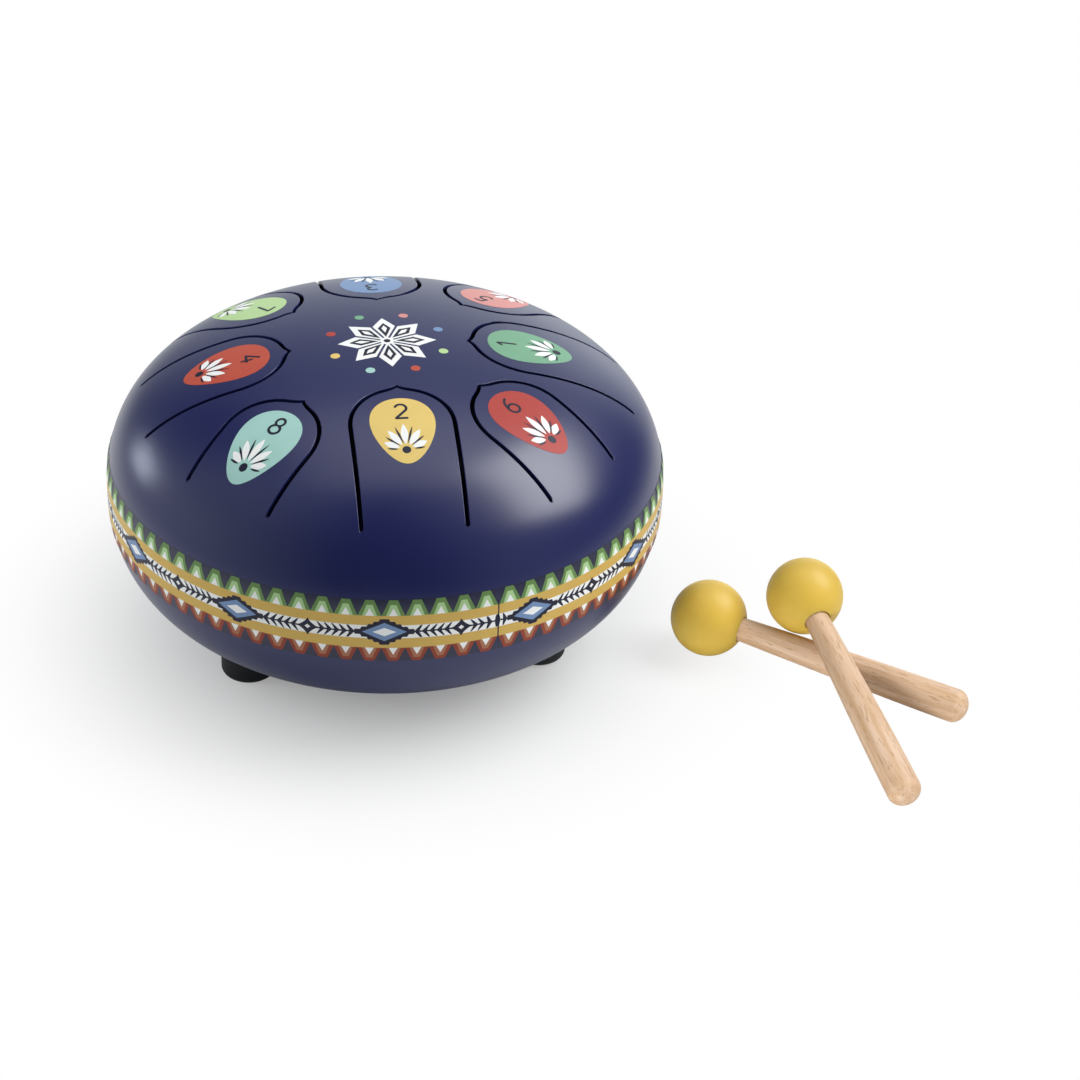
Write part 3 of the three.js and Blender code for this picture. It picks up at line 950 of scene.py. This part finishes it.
# %% [markdown]
# ## The printed band
#
# A strip of printed film runs round the rim and meets itself in a butt joint at the front right. A picture
# could be wrapped round it, but it would blur in a close view. The pattern is drawn as layers from top to
# bottom instead: at each column of the strip every colour starts where the one above it ends. Teeth,
# stripes, barbs and lozenges are then only wavy borders between layers, given by a few straight pieces,
# and every border stays sharp. Where a layer has no height its faces vanish. Between the lozenges the
# columns lean away from the middle line, so the barbs slant like a fishbone.

# %% The band's pattern as borders between colours
teeth = 78
tooth_parts = 16
repeat = 6.5
first_lozenge = 1.625
band_top, band_foot = 10.5 * mm, -14.5 * mm
stripe_top, stripe_foot = 4.6 * mm, -8.3 * mm
white_top, white_foot = 0.8 * mm, -4.4 * mm
tooth_tip, fang_tip = 10.3 * mm, -14.35 * mm
middle_line = (white_top + white_foot) / 2
white_half = white_top - middle_line

columns = np.arange(teeth * tooth_parts + 1) / tooth_parts
tooth_part = columns % 1 * tooth_parts
past_lozenge = (columns + first_lozenge) % repeat - repeat / 2
from_lozenge = np.abs(past_lozenge)
from_diamond = repeat / 2 - from_lozenge


def wave(place, marks, heights):
    """A border of straight pieces: heights at some marks, and even slopes between them."""
    return np.interp(place, marks, heights)


def peak(distance, height, reach):
    """A border that falls evenly from a height in mm to nothing at its reach."""
    return height * mm * wave(distance, [0, reach], [1, 0])


tooth = wave(tooth_part, [0, 5, 11, 16], [0, 1, 1, 0])
inner_tooth = wave(tooth_part, [3, 6, 10, 13], [0, 0.72, 0.72, 0])
tooth_heart = wave(tooth_part, [5, 8, 11], [0, 0.5, 0])
lozenge_height, lozenge_steps, steps_per_tooth = 5.2 * mm, 5, 4
stepped = np.clip(1 - np.floor(from_lozenge * steps_per_tooth) / lozenge_steps, 0, 1)
lozenge = np.maximum(lozenge_height * stepped, peak(from_diamond, 3.5, 0.44))
lozenge_heart = np.maximum(peak(from_lozenge, 1.7, 0.5), peak(from_diamond, 0.9, 2 / 16))
lozenge_inner = np.maximum(peak(from_lozenge, 3.7, 15 / 16), lozenge_heart)
print("the band has", teeth, "teeth and", int(teeth / repeat), "lozenges")

# %% The fishbone between the lozenges, and the layers
shaft_half = 0.32 * mm
barb_reach = 2.15 * mm
barb_slant = 2 * mm
barb_parts = 5
lozenge_clear, diamond_clear, joint_clear = 1.3, 0.5, 0.6
has_barbs = (from_lozenge > lozenge_clear) & (from_diamond > diamond_clear)
barb = has_barbs * wave(from_lozenge * tooth_parts % barb_parts, [0, 1, 2, 3], [0, 1, 1, 0])
lean = np.sign(past_lozenge) * wave(from_lozenge, [0.9, 1.4, 2.7, repeat / 2], [0, 1, 1, 0])
lean = lean * wave(columns, [0, joint_clear, teeth - joint_clear, teeth], [0, 1, 1, 0])
line_half = np.maximum(lozenge, shaft_half + barb_reach * barb)

line_top, line_foot = middle_line + line_half, middle_line - line_half
above = np.maximum(line_top, white_top)
below = np.minimum(line_foot, white_foot)
green_rise, red_drop = tooth_tip - stripe_top, fang_tip - stripe_foot
layers = [
    (band_top, "film"),
    (stripe_top + green_rise * tooth, "leaf"),
    (stripe_top + green_rise * inner_tooth, "pale_leaf"),
    (stripe_top + green_rise * tooth_heart, "white"),
    (stripe_top, "stripe"),
    (above, "white"),
    (line_top, "navy"),
    (middle_line + lozenge_inner, "blue"),
    (middle_line + lozenge_heart, "white"),
    (middle_line - lozenge_heart, "blue"),
    (middle_line - lozenge_inner, "navy"),
    (line_foot, "white"),
    (below, "stripe"),
    (stripe_foot, "white"),
    (stripe_foot + red_drop * tooth_heart, "rose"),
    (stripe_foot + red_drop * inner_tooth, "brick"),
    (stripe_foot + red_drop * tooth, "film"),
    (band_foot, None),
]
borders = np.stack([np.broadcast_to(height, columns.shape) for height, _ in layers])
borders = np.minimum.accumulate(borders, axis=0)
lean_by_height = wave(np.abs(borders - middle_line), [0, white_half, stripe_top - middle_line], [0, 1, 0])
slides = barb_slant * lean * lean_by_height
print("band pattern:", borders.shape[0] - 1, "layers in", borders.shape[1], "columns")

# %% Make the band
film_gap, film_thickness = 0.1 * mm, 0.3 * mm
film_taper, thinnest = 1.2 * mm, 0.01
joint_azimuth = np.radians(-74)
joint_half = 0.25 * mm / rim_radius
dome_foot_shares = np.linspace(0, 0.5, 41)
skin = np.vstack([bowl_outside, bezier(dome_handles, dome_foot_shares)])


def on_skin(height, lift):
    """Radius and normal of the two shells' outer skin at a height, lifted off it along the normal."""
    radius, normal_out, normal_up = (np.interp(height, skin[:, 1], skin[:, i]) for i in (0, 2, 3))
    return radius + lift * normal_out, height + lift * normal_up, normal_out, normal_up


def make_band():
    """The strip's front follows the pattern's borders and its back the same rows, closer to the steel. It
    thins out towards its upper and lower edge, and both ends are closed at the butt joint."""
    heights = rim_z + borders
    from_edge = np.minimum(heights - (rim_z + band_foot), rim_z + band_top - heights)
    body = np.sqrt(np.clip(from_edge / film_taper, thinnest, 1))
    angles = joint_azimuth + joint_half + columns / teeth * (full_turn - 2 * joint_half)
    angles = angles + slides / rim_radius
    sides = []
    for lift, facing in (((film_gap + film_thickness) * body, 1), (film_gap * body / 2, -1)):
        radius, height, out, up = on_skin(heights, lift)
        sides.append((about_axis(radius, angles, height), facing * about_axis(out, angles, up)))
    points, normals = (np.concatenate([front, back[::-1], front[:1]]) for front, back in zip(*sides))
    names = list(dict.fromkeys(name for _, name in layers[:-1]))
    row_finish = np.zeros(len(points) - 1, int)
    row_finish[: len(layers) - 1] = [names.index(name) for _, name in layers[:-1]]
    sheet = closed_ends(grid(points, normals, row_finish[:, None]), len(columns), len(layers))
    return make_piece("rim_band", shifted(sheet, drum_axis), [inks[name] for name in names])


band = make_band()
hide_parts("printed_band")
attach(band, "drum")

# %% [markdown]
# ## Feet and fasteners
#
# Three rubber feet keep the drum off the table, so that air can leave the sound hole. Each has a recess
# for a screw with a washer under its head. The foot, washer and screw are turned. The screw's cross recess
# is a plus-shaped outline sunk into the head, written as a distance from the middle at each angle.

# %% Feet and cup washers
recess_radius, recess_top = 5 * mm, 6 * mm
foot_bore, washer_bore = 2.3 * mm, 2.15 * mm
washer_round = 0.15 * mm
foot_sides, washer_sides = 72, 64
foot_corner_steps = 8


def foot(low, high, radius):
    """A rubber foot: a turned block with a well rounded lower edge and a recess."""
    profile = rounded([
        (recess_radius, low, 0.6 * mm),
        (radius, low, 3 * mm),
        (radius, high, 0.5 * mm),
        (foot_bore, high, 0.2 * mm),
        (foot_bore, recess_top, 0.3 * mm),
        (recess_radius, recess_top, 0.4 * mm),
    ], closed=True, steps=foot_corner_steps)
    return turned(profile, even_angles(foot_sides))


def cup_washer(low, high, radius):
    """A flat steel washer with its four edges rounded alike."""
    spots = [(washer_bore, low), (radius, low), (radius, high), (washer_bore, high)]
    profile = rounded([(*spot, washer_round) for spot in spots], closed=True)
    return turned(profile, even_angles(washer_sides))


print("a foot's recess is", round(2 * recess_radius / mm, 2), "mm across")

# %% Screws with a cross recess
head_height, face_radius, shank_radius = 2.6 * mm, 2.6 * mm, 2 * mm
arm_length, arm_half = 2.1 * mm, 0.45 * mm
cross_shares, face_depths = [1.05, 1, 0.8, 0], [0, 0, 0.06, 1.2, 1.25]
face_slopes, face_upright = [0, 0.3, 1, 0.9, 0], 1.2
octant_shares = [0, 0.5, 1, 1.2, 1.6, 2.2, 3]
quarter_turn = np.pi / 2


def cross_radius(angles):
    """Distance from the middle to a plus-shaped outline: its arm's end or its arm's side, whichever is
    met first."""
    fold = np.abs((angles + quarter_turn / 2) % quarter_turn - quarter_turn / 2)
    return np.minimum(arm_length / np.cos(fold), arm_half / np.maximum(np.sin(fold), 1e-6))


def screw(low, high, radius):
    """A pan head screw, head down: a turned shank and head, and a head face that sinks into a cross. The
    face goes from its rim to its middle by shares of the cross and depths in mm."""
    profile = rounded([
        (face_radius, low, 0),
        (radius, low, 1.1 * mm),
        (radius, low + head_height, 0.2 * mm),
        (shank_radius, low + head_height, 0.2 * mm),
        (shank_radius, high, 0.5 * mm),
        (0, high, 0),
    ])
    arm_angle = np.arctan(arm_half / arm_length)
    octant = np.append(np.array(octant_shares) * arm_angle, quarter_turn / 2)
    quarter = np.concatenate([octant, quarter_turn - octant[-2:0:-1]])
    angles = (np.arange(4)[:, None] * quarter_turn + quarter).ravel()
    cross = np.array(cross_shares)[:, None] * cross_radius(angles)
    radii = np.vstack([np.full(len(angles), face_radius), cross])
    heights = low + np.array(face_depths)[:, None] * mm
    inward = np.array(face_slopes)[:, None]
    points = about_axis(radii, angles, heights)
    normals = unit(about_axis(-inward, angles, inward - face_upright))
    return together([turned(profile, angles), grid(points, normals, round_columns=True)])


print("an arm of the cross is", round(2 * arm_half / mm, 2), "mm wide")

# %% Put feet, washers and screws in place
foot_parts = [
    (foot, "foot", "rubber_foot", foot_rubber, "foot_rubber"),
    (cup_washer, "foot_cup_washer", "cup_washer", zinc, "zinc_steel"),
    (screw, "foot_screw", "pan_screw", zinc, "zinc_steel"),
]
for number in (1, 2, 3):
    foot_place = np.append(sum(corners(f"foot_{number}"))[:2] / 2, 0)
    for shape, node, name, finish, slot in foot_parts:
        low, high = corners(f"{node}_{number}")
        sheet = shape(low[2], high[2], (high - low)[0] / 2)
        piece = make_piece(f"{name}_{number}", shifted(sheet, foot_place), [finish])
        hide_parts(f"{node}_{number}")
        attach(piece, "drum")

# %% [markdown]
# ## Pieces that keep their solid
#
# The sealant at the rim is hidden by the band, and the nuts and washers inside the bowl only show through
# the sound hole. Their solids have the right shape already, so they stay and only get a finish. The
# solid's own mesh is left alone: its material slots are refilled.

# %% Dress the kept solids
kept = {"rim_seal": sealant, "inner_washer": zinc, "foot_nut": zinc}
for node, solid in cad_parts.items():
    finish = next((kept[key] for key in kept if node.startswith(key)), None)
    if finish:
        solid.data.materials.clear()
        solid.data.materials.append(finish)
        print("kept", node)

# %% [markdown]
# ## Beech for the handles
#
# The handles are pale beech, turned along the grain. Beech has soft streaks that run with the handle and
# many short dark flecks. Both are noise textures that are stretched along the grain. The handles lie at
# a slant, so each point carries its place in the handle's own frame, and the finish reads that instead of
# the scene's axes.

# %% The beech finish
streak_stretch, fleck_stretch = (1, 1, 0.07), (1, 1, 0.12)
streak_ends = [(0.3, "C8A17B"), (0.72, "DEC0A5")]
fleck_colour, fleck_strength = "B08A64", 0.7


def make_beech():
    """Streaks = noise stretched 14 times along the handle, flecks = a finer one cut off at its peaks."""
    material, tree, shader = new_material("beech")
    place = add_node(tree, "ShaderNodeAttribute", attribute_name="along_grain")
    streak_place = add_node(tree, "ShaderNodeMapping", {"Scale": streak_stretch})
    streaks = add_node(tree, "ShaderNodeTexNoise", {"Scale": 420.0, "Detail": 4.0, "Distortion": 0.3})
    streak_colour = add_node(tree, "ShaderNodeValToRGB")
    for element, (position, colour) in zip(streak_colour.color_ramp.elements, streak_ends):
        element.position = position
        element.color = linear(colour)
    fleck_place = add_node(tree, "ShaderNodeMapping", {"Scale": fleck_stretch})
    flecks = add_node(tree, "ShaderNodeTexNoise", {"Scale": 1800.0, "Detail": 1.0})
    fleck_mask = add_node(tree, "ShaderNodeMapRange", {"From Min": 0.6, "From Max": 0.68})
    darker = add_node(tree, "ShaderNodeMix", data_type="RGBA")
    darker.inputs["B"].default_value = linear(fleck_colour)
    softer = add_node(tree, "ShaderNodeMath", {1: fleck_strength}, operation="MULTIPLY")
    rough = add_node(tree, "ShaderNodeMapRange", {"To Min": 0.46, "To Max": 0.6})
    relief = add_node(tree, "ShaderNodeBump", {"Strength": 0.15, "Distance": 0.06 * mm})
    wire(
        tree,
        (place, "Vector", streak_place, "Vector"),
        (place, "Vector", fleck_place, "Vector"),
        (streak_place, "Vector", streaks, "Vector"),
        (fleck_place, "Vector", flecks, "Vector"),
        (streaks, 0, streak_colour, 0),
        (flecks, 0, fleck_mask, "Value"),
        (fleck_mask, "Result", softer, 0),
        (softer, 0, darker, "Factor"),
        (streak_colour, "Color", darker, "A"),
        (darker, "Result", shader, "Base Color"),
        (streaks, 0, rough, "Value"),
        (rough, "Result", shader, "Roughness"),
        (streaks, 0, relief, "Height"),
        (relief, "Normal", shader, "Normal"),
    )
    return material


beech = make_beech()
print("beech has", len(beech.node_tree.nodes), "nodes")

# %% [markdown]
# ## The mallets
#
# A mallet is a rubber ball on a beech handle that swells towards its rounded tail. Both are turned about
# the handle's axis and then laid where the solids lie. The axis is found from the solids themselves: the
# middle of a turned piece's points lies on its axis, so the middles of head and handle give the line.

# %% Find the mallets' axes
ball_radius = 14 * mm


def solid_points(node):
    """The points of a solid as an array."""
    points = np.zeros(len(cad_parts[node].data.vertices) * 3)
    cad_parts[node].data.vertices.foreach_get("co", points)
    return points.reshape(-1, 3)


def mallet_line(mallet):
    """The ball's centre and the handle's direction. The head's lowest point along the axis is its pole,
    one ball radius from the centre."""
    head, handle = solid_points(mallet + "_head"), solid_points(mallet + "_handle")
    way = unit(handle.mean(axis=0) - head.mean(axis=0))
    pole = np.min((head - head.mean(axis=0)) @ way)
    return head.mean(axis=0) + way * (pole + ball_radius), way


def laid_along(sheet, centre, way):
    """A sheet that was turned about Z, laid with its axis along a direction from a centre."""
    turn = np.array(Vector((0, 0, 1)).rotation_difference(Vector(way)).to_matrix())
    return sheet._replace(points=sheet.points @ turn.T + centre, normals=sheet.normals @ turn.T)


print("mallet a runs along", mallet_line("mallet_a")[1].round(3))

# %% Profiles of ball and handle
mallet_reach = 100.95 * mm
tenon_depth = 13 * mm
neck_radius, tail_radius = 4.4 * mm, 6.12 * mm
swell_length, tail_round = 30 * mm, 5 * mm
socket_radius, socket_room = neck_radius + 0.35 * mm, 0.3 * mm
socket_mouth = np.sqrt(ball_radius**2 - socket_radius**2)
mouth_softening = 0.03
mouth_angle = np.arccos(socket_radius / ball_radius) - mouth_softening
ball_rows, swell_rows, tail_rows = 61, 41, 21


def ball_profile():
    """A ball as a half circle from its pole to the socket, with a softened mouth and a flat floor."""
    angle = np.linspace(-np.pi / 2, mouth_angle, ball_rows)
    facing = circle(angle)
    skin_points = np.hstack([ball_radius * facing, facing])
    floor = socket_mouth - tenon_depth - socket_room
    socket = rounded([
        (*skin_points[-1, :2], 0),
        (socket_radius, socket_mouth, 0.25 * mm),
        (socket_radius, floor, 0.3 * mm),
        (0, floor, 0),
    ])
    skin_points[0, 0] = 0
    return np.vstack([skin_points, socket[corner_steps + 1 :]])


def handle_profile():
    """A handle from its tenon to its tail: a quadratic swell and a quarter ellipse at the end."""
    grip_end = mallet_reach - tail_round
    start, end = np.array([neck_radius, socket_mouth]), np.array([tail_radius, grip_end])
    bend = np.array([tail_radius, mallet_reach - swell_length])
    handles = [start, start + (bend - start) * 2 / 3, end + (bend - end) * 2 / 3, end]
    swell = bezier(handles, np.linspace(0, 1, swell_rows))
    quarter = circle(np.linspace(0, np.pi / 2, tail_rows)[1:])
    tail = np.array([0, grip_end]) + quarter * (tail_radius, tail_round)
    tail_facing = unit(quarter / (tail_radius, tail_round))
    low = socket_mouth - tenon_depth
    tenon = rounded([(0, low, 0), (neck_radius, low, 0.4 * mm), (neck_radius, socket_mouth, 0)])
    return np.vstack([tenon, swell, np.hstack([tail, tail_facing])])


print("ball and handle profiles have", len(ball_profile()), "and", len(handle_profile()), "points")

# %% Make the mallets
ball_sides, handle_sides = 96, 64
for mallet, grain_shift in (("mallet_a", 0), ("mallet_b", 0.37)):
    centre, way = mallet_line(mallet)
    ball = turned(ball_profile(), even_angles(ball_sides))
    handle = turned(handle_profile(), even_angles(handle_sides))
    own_place = {"along_grain": handle.points + grain_shift}
    handle_laid = laid_along(handle, centre, way)
    head_piece = make_piece(mallet + "_ball", laid_along(ball, centre, way), [ball_rubber])
    handle_piece = make_piece(mallet + "_grip", handle_laid, [beech], own_place)
    for piece, node in ((head_piece, "_head"), (handle_piece, "_handle")):
        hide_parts(mallet + node)
        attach(piece, mallet)

# %% [markdown]
# ## Floor and background
#
# The photograph has a white background. The floor is a round table top, pale and matt near the set, so
# that it takes soft shadows. Further out it turns into even white for the camera and for reflections. The
# mirrored white starts off to one side, because the bowl shows a paler floor on its left. The same white
# fills the world. Only the camera's rays and mirrored ones meet it, so it adds no other light to the
# object.

# %% White surroundings
def seen_rays(tree, camera_share=None, mirror_share=None):
    """1 for camera, glossy and transmission rays, and 0 for the rays that carry light to the object. With
    shares, the camera's rays and the mirrored ones count by their own share."""
    path = add_node(tree, "ShaderNodeLightPath")
    mirrored = add_node(tree, "ShaderNodeMath", operation="MAXIMUM")
    both = add_node(tree, "ShaderNodeMath", operation="MAXIMUM")
    wire(tree, (path, "Is Glossy Ray", mirrored, 0), (path, "Is Transmission Ray", mirrored, 1))
    link = tree.links.new
    parts = (path.outputs["Is Camera Ray"], camera_share), (mirrored.outputs[0], mirror_share)
    for socket, (part, share) in zip(both.inputs, parts):
        if share:
            shared = add_node(tree, "ShaderNodeMath", operation="MULTIPLY")
            link(part, shared.inputs[0])
            link(share, shared.inputs[1])
            part = shared.outputs[0]
        link(part, socket)
    return both.outputs[0]


def make_world():
    """White for the eye, for reflections and through glass, and dark for the rays that carry light."""
    world = bpy.data.worlds.new("studio")
    bpy.context.scene.world = world
    world.use_nodes = True
    tree = world.node_tree
    background = tree.nodes["Background"]
    background.inputs["Color"].default_value = (1, 1, 1, 1)
    tree.links.new(seen_rays(tree), background.inputs["Strength"])


make_world()
print("the world is named", bpy.context.scene.world.name)

# %% Make the floor
floor_reach = 0.34
floor_rings, floor_sides = 13, 64
camera_fade = drum_axis, 0.0, 0.16
mirror_fade = drum_axis + np.array([60, -60, 0]) * mm, 0.08, 0.28


def make_floor():
    """A level disc: radius x (cos a, sin a), with a matt finish that fades to even white with distance."""
    rings = np.linspace(0, floor_reach, floor_rings)
    profile = np.stack(np.broadcast_arrays(rings, 0, 0, 1), axis=-1)
    disc = turned(profile, even_angles(floor_sides))
    material, tree, matt = new_material("studio_floor")
    floor = make_piece("studio_floor", shifted(disc, drum_axis), [material])
    pale = {"Base Color": (0.7, 0.71, 0.71, 1), "Roughness": 0.9, "Specular IOR Level": 0.1}
    set_inputs(matt, pale)
    white = add_node(tree, "ShaderNodeEmission", {"Color": (1, 1, 1, 1), "Strength": 1.0})
    place = add_node(tree, "ShaderNodeTexCoord")
    shares = []
    for centre, near, far in (camera_fade, mirror_fade):
        distance = add_node(tree, "ShaderNodeVectorMath", {1: centre}, operation="DISTANCE")
        limits = {"From Min": near, "From Max": far}
        fade = add_node(tree, "ShaderNodeMapRange", limits, interpolation_type="SMOOTHSTEP")
        wire(tree, (place, "Object", distance, 0), (distance, "Value", fade, "Value"))
        shares.append(fade.outputs["Result"])
    mix = add_node(tree, "ShaderNodeMixShader")
    tree.links.new(seen_rays(tree, *shares), mix.inputs[0])
    surface = tree.nodes["Material Output"]
    wire(tree, (matt, 0, mix, 1), (white, 0, mix, 2), (mix, 0, surface, "Surface"))


make_floor()

# %% [markdown]
# ## Lamps
#
# Satin paint shows its lamps as soft glows, so the lamps stand where the glows in the photograph say they
# stood: a large softbox high on the right, rolled about its beam, one overhead and a little behind, and a
# small, slightly cool one low on the left. Two fills lighten the shade, and no surface mirrors them: a
# broad one from the left, and a narrow beam on the mallets. The paint also shows the room: dark behind the
# camera, grey at the sides, paler behind the drum. A glowing sphere round the set does that here, and
# gives the soft fill. The camera doesn't see it, so the background stays white.

# %% Place the lamps
view_azimuth = np.radians(-6.5)
drum_middle = drum_axis + np.array([0, 0, rim_z])


def towards(azimuth, elevation):
    """Unit vectors from the drum: azimuth 0 is towards the camera and 90 to its right, in degrees."""
    turn = np.radians(azimuth) - np.pi / 2 + view_azimuth
    rise = np.radians(elevation)
    return about_axis(np.cos(rise), turn, np.sin(rise))


def softbox(name, azimuth, elevation, distance, size, glow, aim=drum_middle, spread=np.pi, roll=0):
    """A rectangular area lamp that faces a point and is rolled about its beam. Its power is its glow times
    pi times its area, and less with a narrow beam."""
    lamp = bpy.data.lights.new(name, "AREA")
    lamp.shape = "RECTANGLE"
    lamp.size, lamp.size_y = size
    lamp.spread = spread
    lamp.energy = glow * np.pi * size[0] * size[1] * (1 - spread / 2 / np.tan(spread / 2))
    holder = bpy.data.objects.new(name, lamp)
    back = Vector(towards(azimuth, elevation))
    holder.location = Vector(aim) + back * distance
    turn = back.to_track_quat("Z", "Y") @ Quaternion((0, 0, 1), np.radians(roll))
    holder.rotation_euler = turn.to_euler()
    bpy.context.scene.collection.objects.link(holder)
    return holder


softbox("right_softbox", 98, 46, 1.6, (1.3, 0.83), 7.3, roll=41)
softbox("overhead_softbox", 180, 73, 1.25, (0.86, 0.86), 1.1)
cool = softbox("left_softbox", -117, 8, 1.2, (0.28, 0.28), 6.0)
cool.data.color = (0.92, 0.98, 1.12)
left_fill = softbox("left_fill", -80, 12, 1.2, (0.5, 0.5), 5.5)
left_fill.visible_glossy = False
mallet_nodes = ["mallet_a_head", "mallet_b_head", "mallet_a_handle", "mallet_b_handle"]
mallet_middle = np.mean([solid_points(node).mean(axis=0) for node in mallet_nodes], axis=0)
mallet_fill = softbox("mallet_fill", -14, 6, 0.8, (0.16, 0.16), 83, mallet_middle, 0.42)
mallet_fill.visible_glossy = False
print("lamps:", [lamp.name for lamp in bpy.data.lights])

# %% Make the wall
wall_radius = 1.9
wall_columns, wall_rows = 73, 46
wall_tint = np.array([0.96, 1.01, 1.0])
room_level = 0.77
wall_marks = [-180, -155, -138, -122, -100, -70, -45, -20, 20, 50, 105, 135, 155, 180]
wall_low = [1.3, 0.6, 0.18, 0.42, 0.9, 0.75, 0.5, 0.06, 0.1, 0.5, 0.1, 0.2, 2.0, 1.3]
wall_high = [0.52, 0.25, 0.08, 0.2, 0.7, 0.7, 0.4, 0.06, 0.1, 0.36, 0.3, 0.42, 0.58, 0.52]
rise_heights, table_heights = [14, 36], [-14, -2]
low_glow, more_at_back, more_at_left = 0.7, 0.45, 0.15


def make_wall():
    """A sphere round the drum. Its glow goes with the azimuth, and from a low to a high value with the
    height. Below the table it rises evenly from the camera's side to the back."""
    spans = np.linspace(-180, 180, wall_columns), np.linspace(-90, 90, wall_rows)
    azimuth, height = np.meshgrid(*spans)
    points = drum_middle + wall_radius * towards(azimuth, height)
    low, high = (np.interp(azimuth, wall_marks, glows) for glows in (wall_low, wall_high))
    turn = np.radians(azimuth)
    under = low_glow - more_at_back * np.cos(turn) - more_at_left * np.sin(turn)
    glow = low + (high - low) * np.interp(height, rise_heights, [0, 1])
    glow = room_level * (glow + (under - low) * np.interp(height, table_heights, [1, 0]))
    marks = {"glow": glow.reshape(-1, 1) * wall_tint}
    material, tree, _ = new_material("studio_wall")
    wall = make_piece("studio_wall", grid(points, unit(drum_middle - points)), [material], marks=marks)
    wall.visible_camera = False
    wall.visible_shadow = False
    emission = add_node(tree, "ShaderNodeEmission")
    glow_mark = add_node(tree, "ShaderNodeAttribute", attribute_name="glow")
    surface = tree.nodes["Material Output"]
    wire(tree, (glow_mark, "Color", emission, "Color"), (emission, "Emission", surface, "Surface"))


make_wall()

# %% [markdown]
# ## The camera
#
# The camera's height, distance and lens were fitted to the drum's outline in the photograph. It looks at
# a point beside the drum, because the mallets share the frame. Its axes are worked out from the viewing
# angle and the place where the drum's middle appears in a square picture of 1080 pixels.

# %% Set the camera
picture_size = 1080
lens_mm, sensor_mm = 110.0, 36.0
view_elevation = 31.392
view_distance = 1.197
view_roll = np.radians(0.451)
drum_pixel = np.array([385.65, 473.42])


def rotation(axis, angle):
    """A turn about an axis, as an array."""
    return np.array(Matrix.Rotation(angle, 3, Vector(axis)))


def make_camera():
    """Aims at the drum's middle, then turns so that it appears at its pixel, then rolls."""
    back = towards(0, view_elevation)
    place = drum_middle + view_distance * back
    right = unit(np.cross([0, 0, 1], back))
    up = np.cross(back, right)
    focal = picture_size * lens_mm / sensor_mm
    aside, down = (drum_pixel - picture_size / 2) / focal
    yaw = rotation(up, np.arctan2(aside, 1))
    right, back = yaw @ right, yaw @ back
    pitch = rotation(right, np.arctan2(down, np.hypot(1, aside)))
    up, back = pitch @ up, pitch @ back
    roll = rotation(back, view_roll)
    axes = np.stack([roll @ right, roll @ up, back], axis=1)
    data = bpy.data.cameras.new("camera")
    data.lens, data.sensor_width = lens_mm, sensor_mm
    holder = bpy.data.objects.new("camera", data)
    holder.matrix_world = Matrix.Translation(Vector(place)) @ Matrix(axes.tolist()).to_4x4()
    bpy.context.scene.collection.objects.link(holder)
    bpy.context.scene.camera = holder
    return place


print("camera at", make_camera().round(3))
bpy.context.scene.view_settings.view_transform = "Standard"
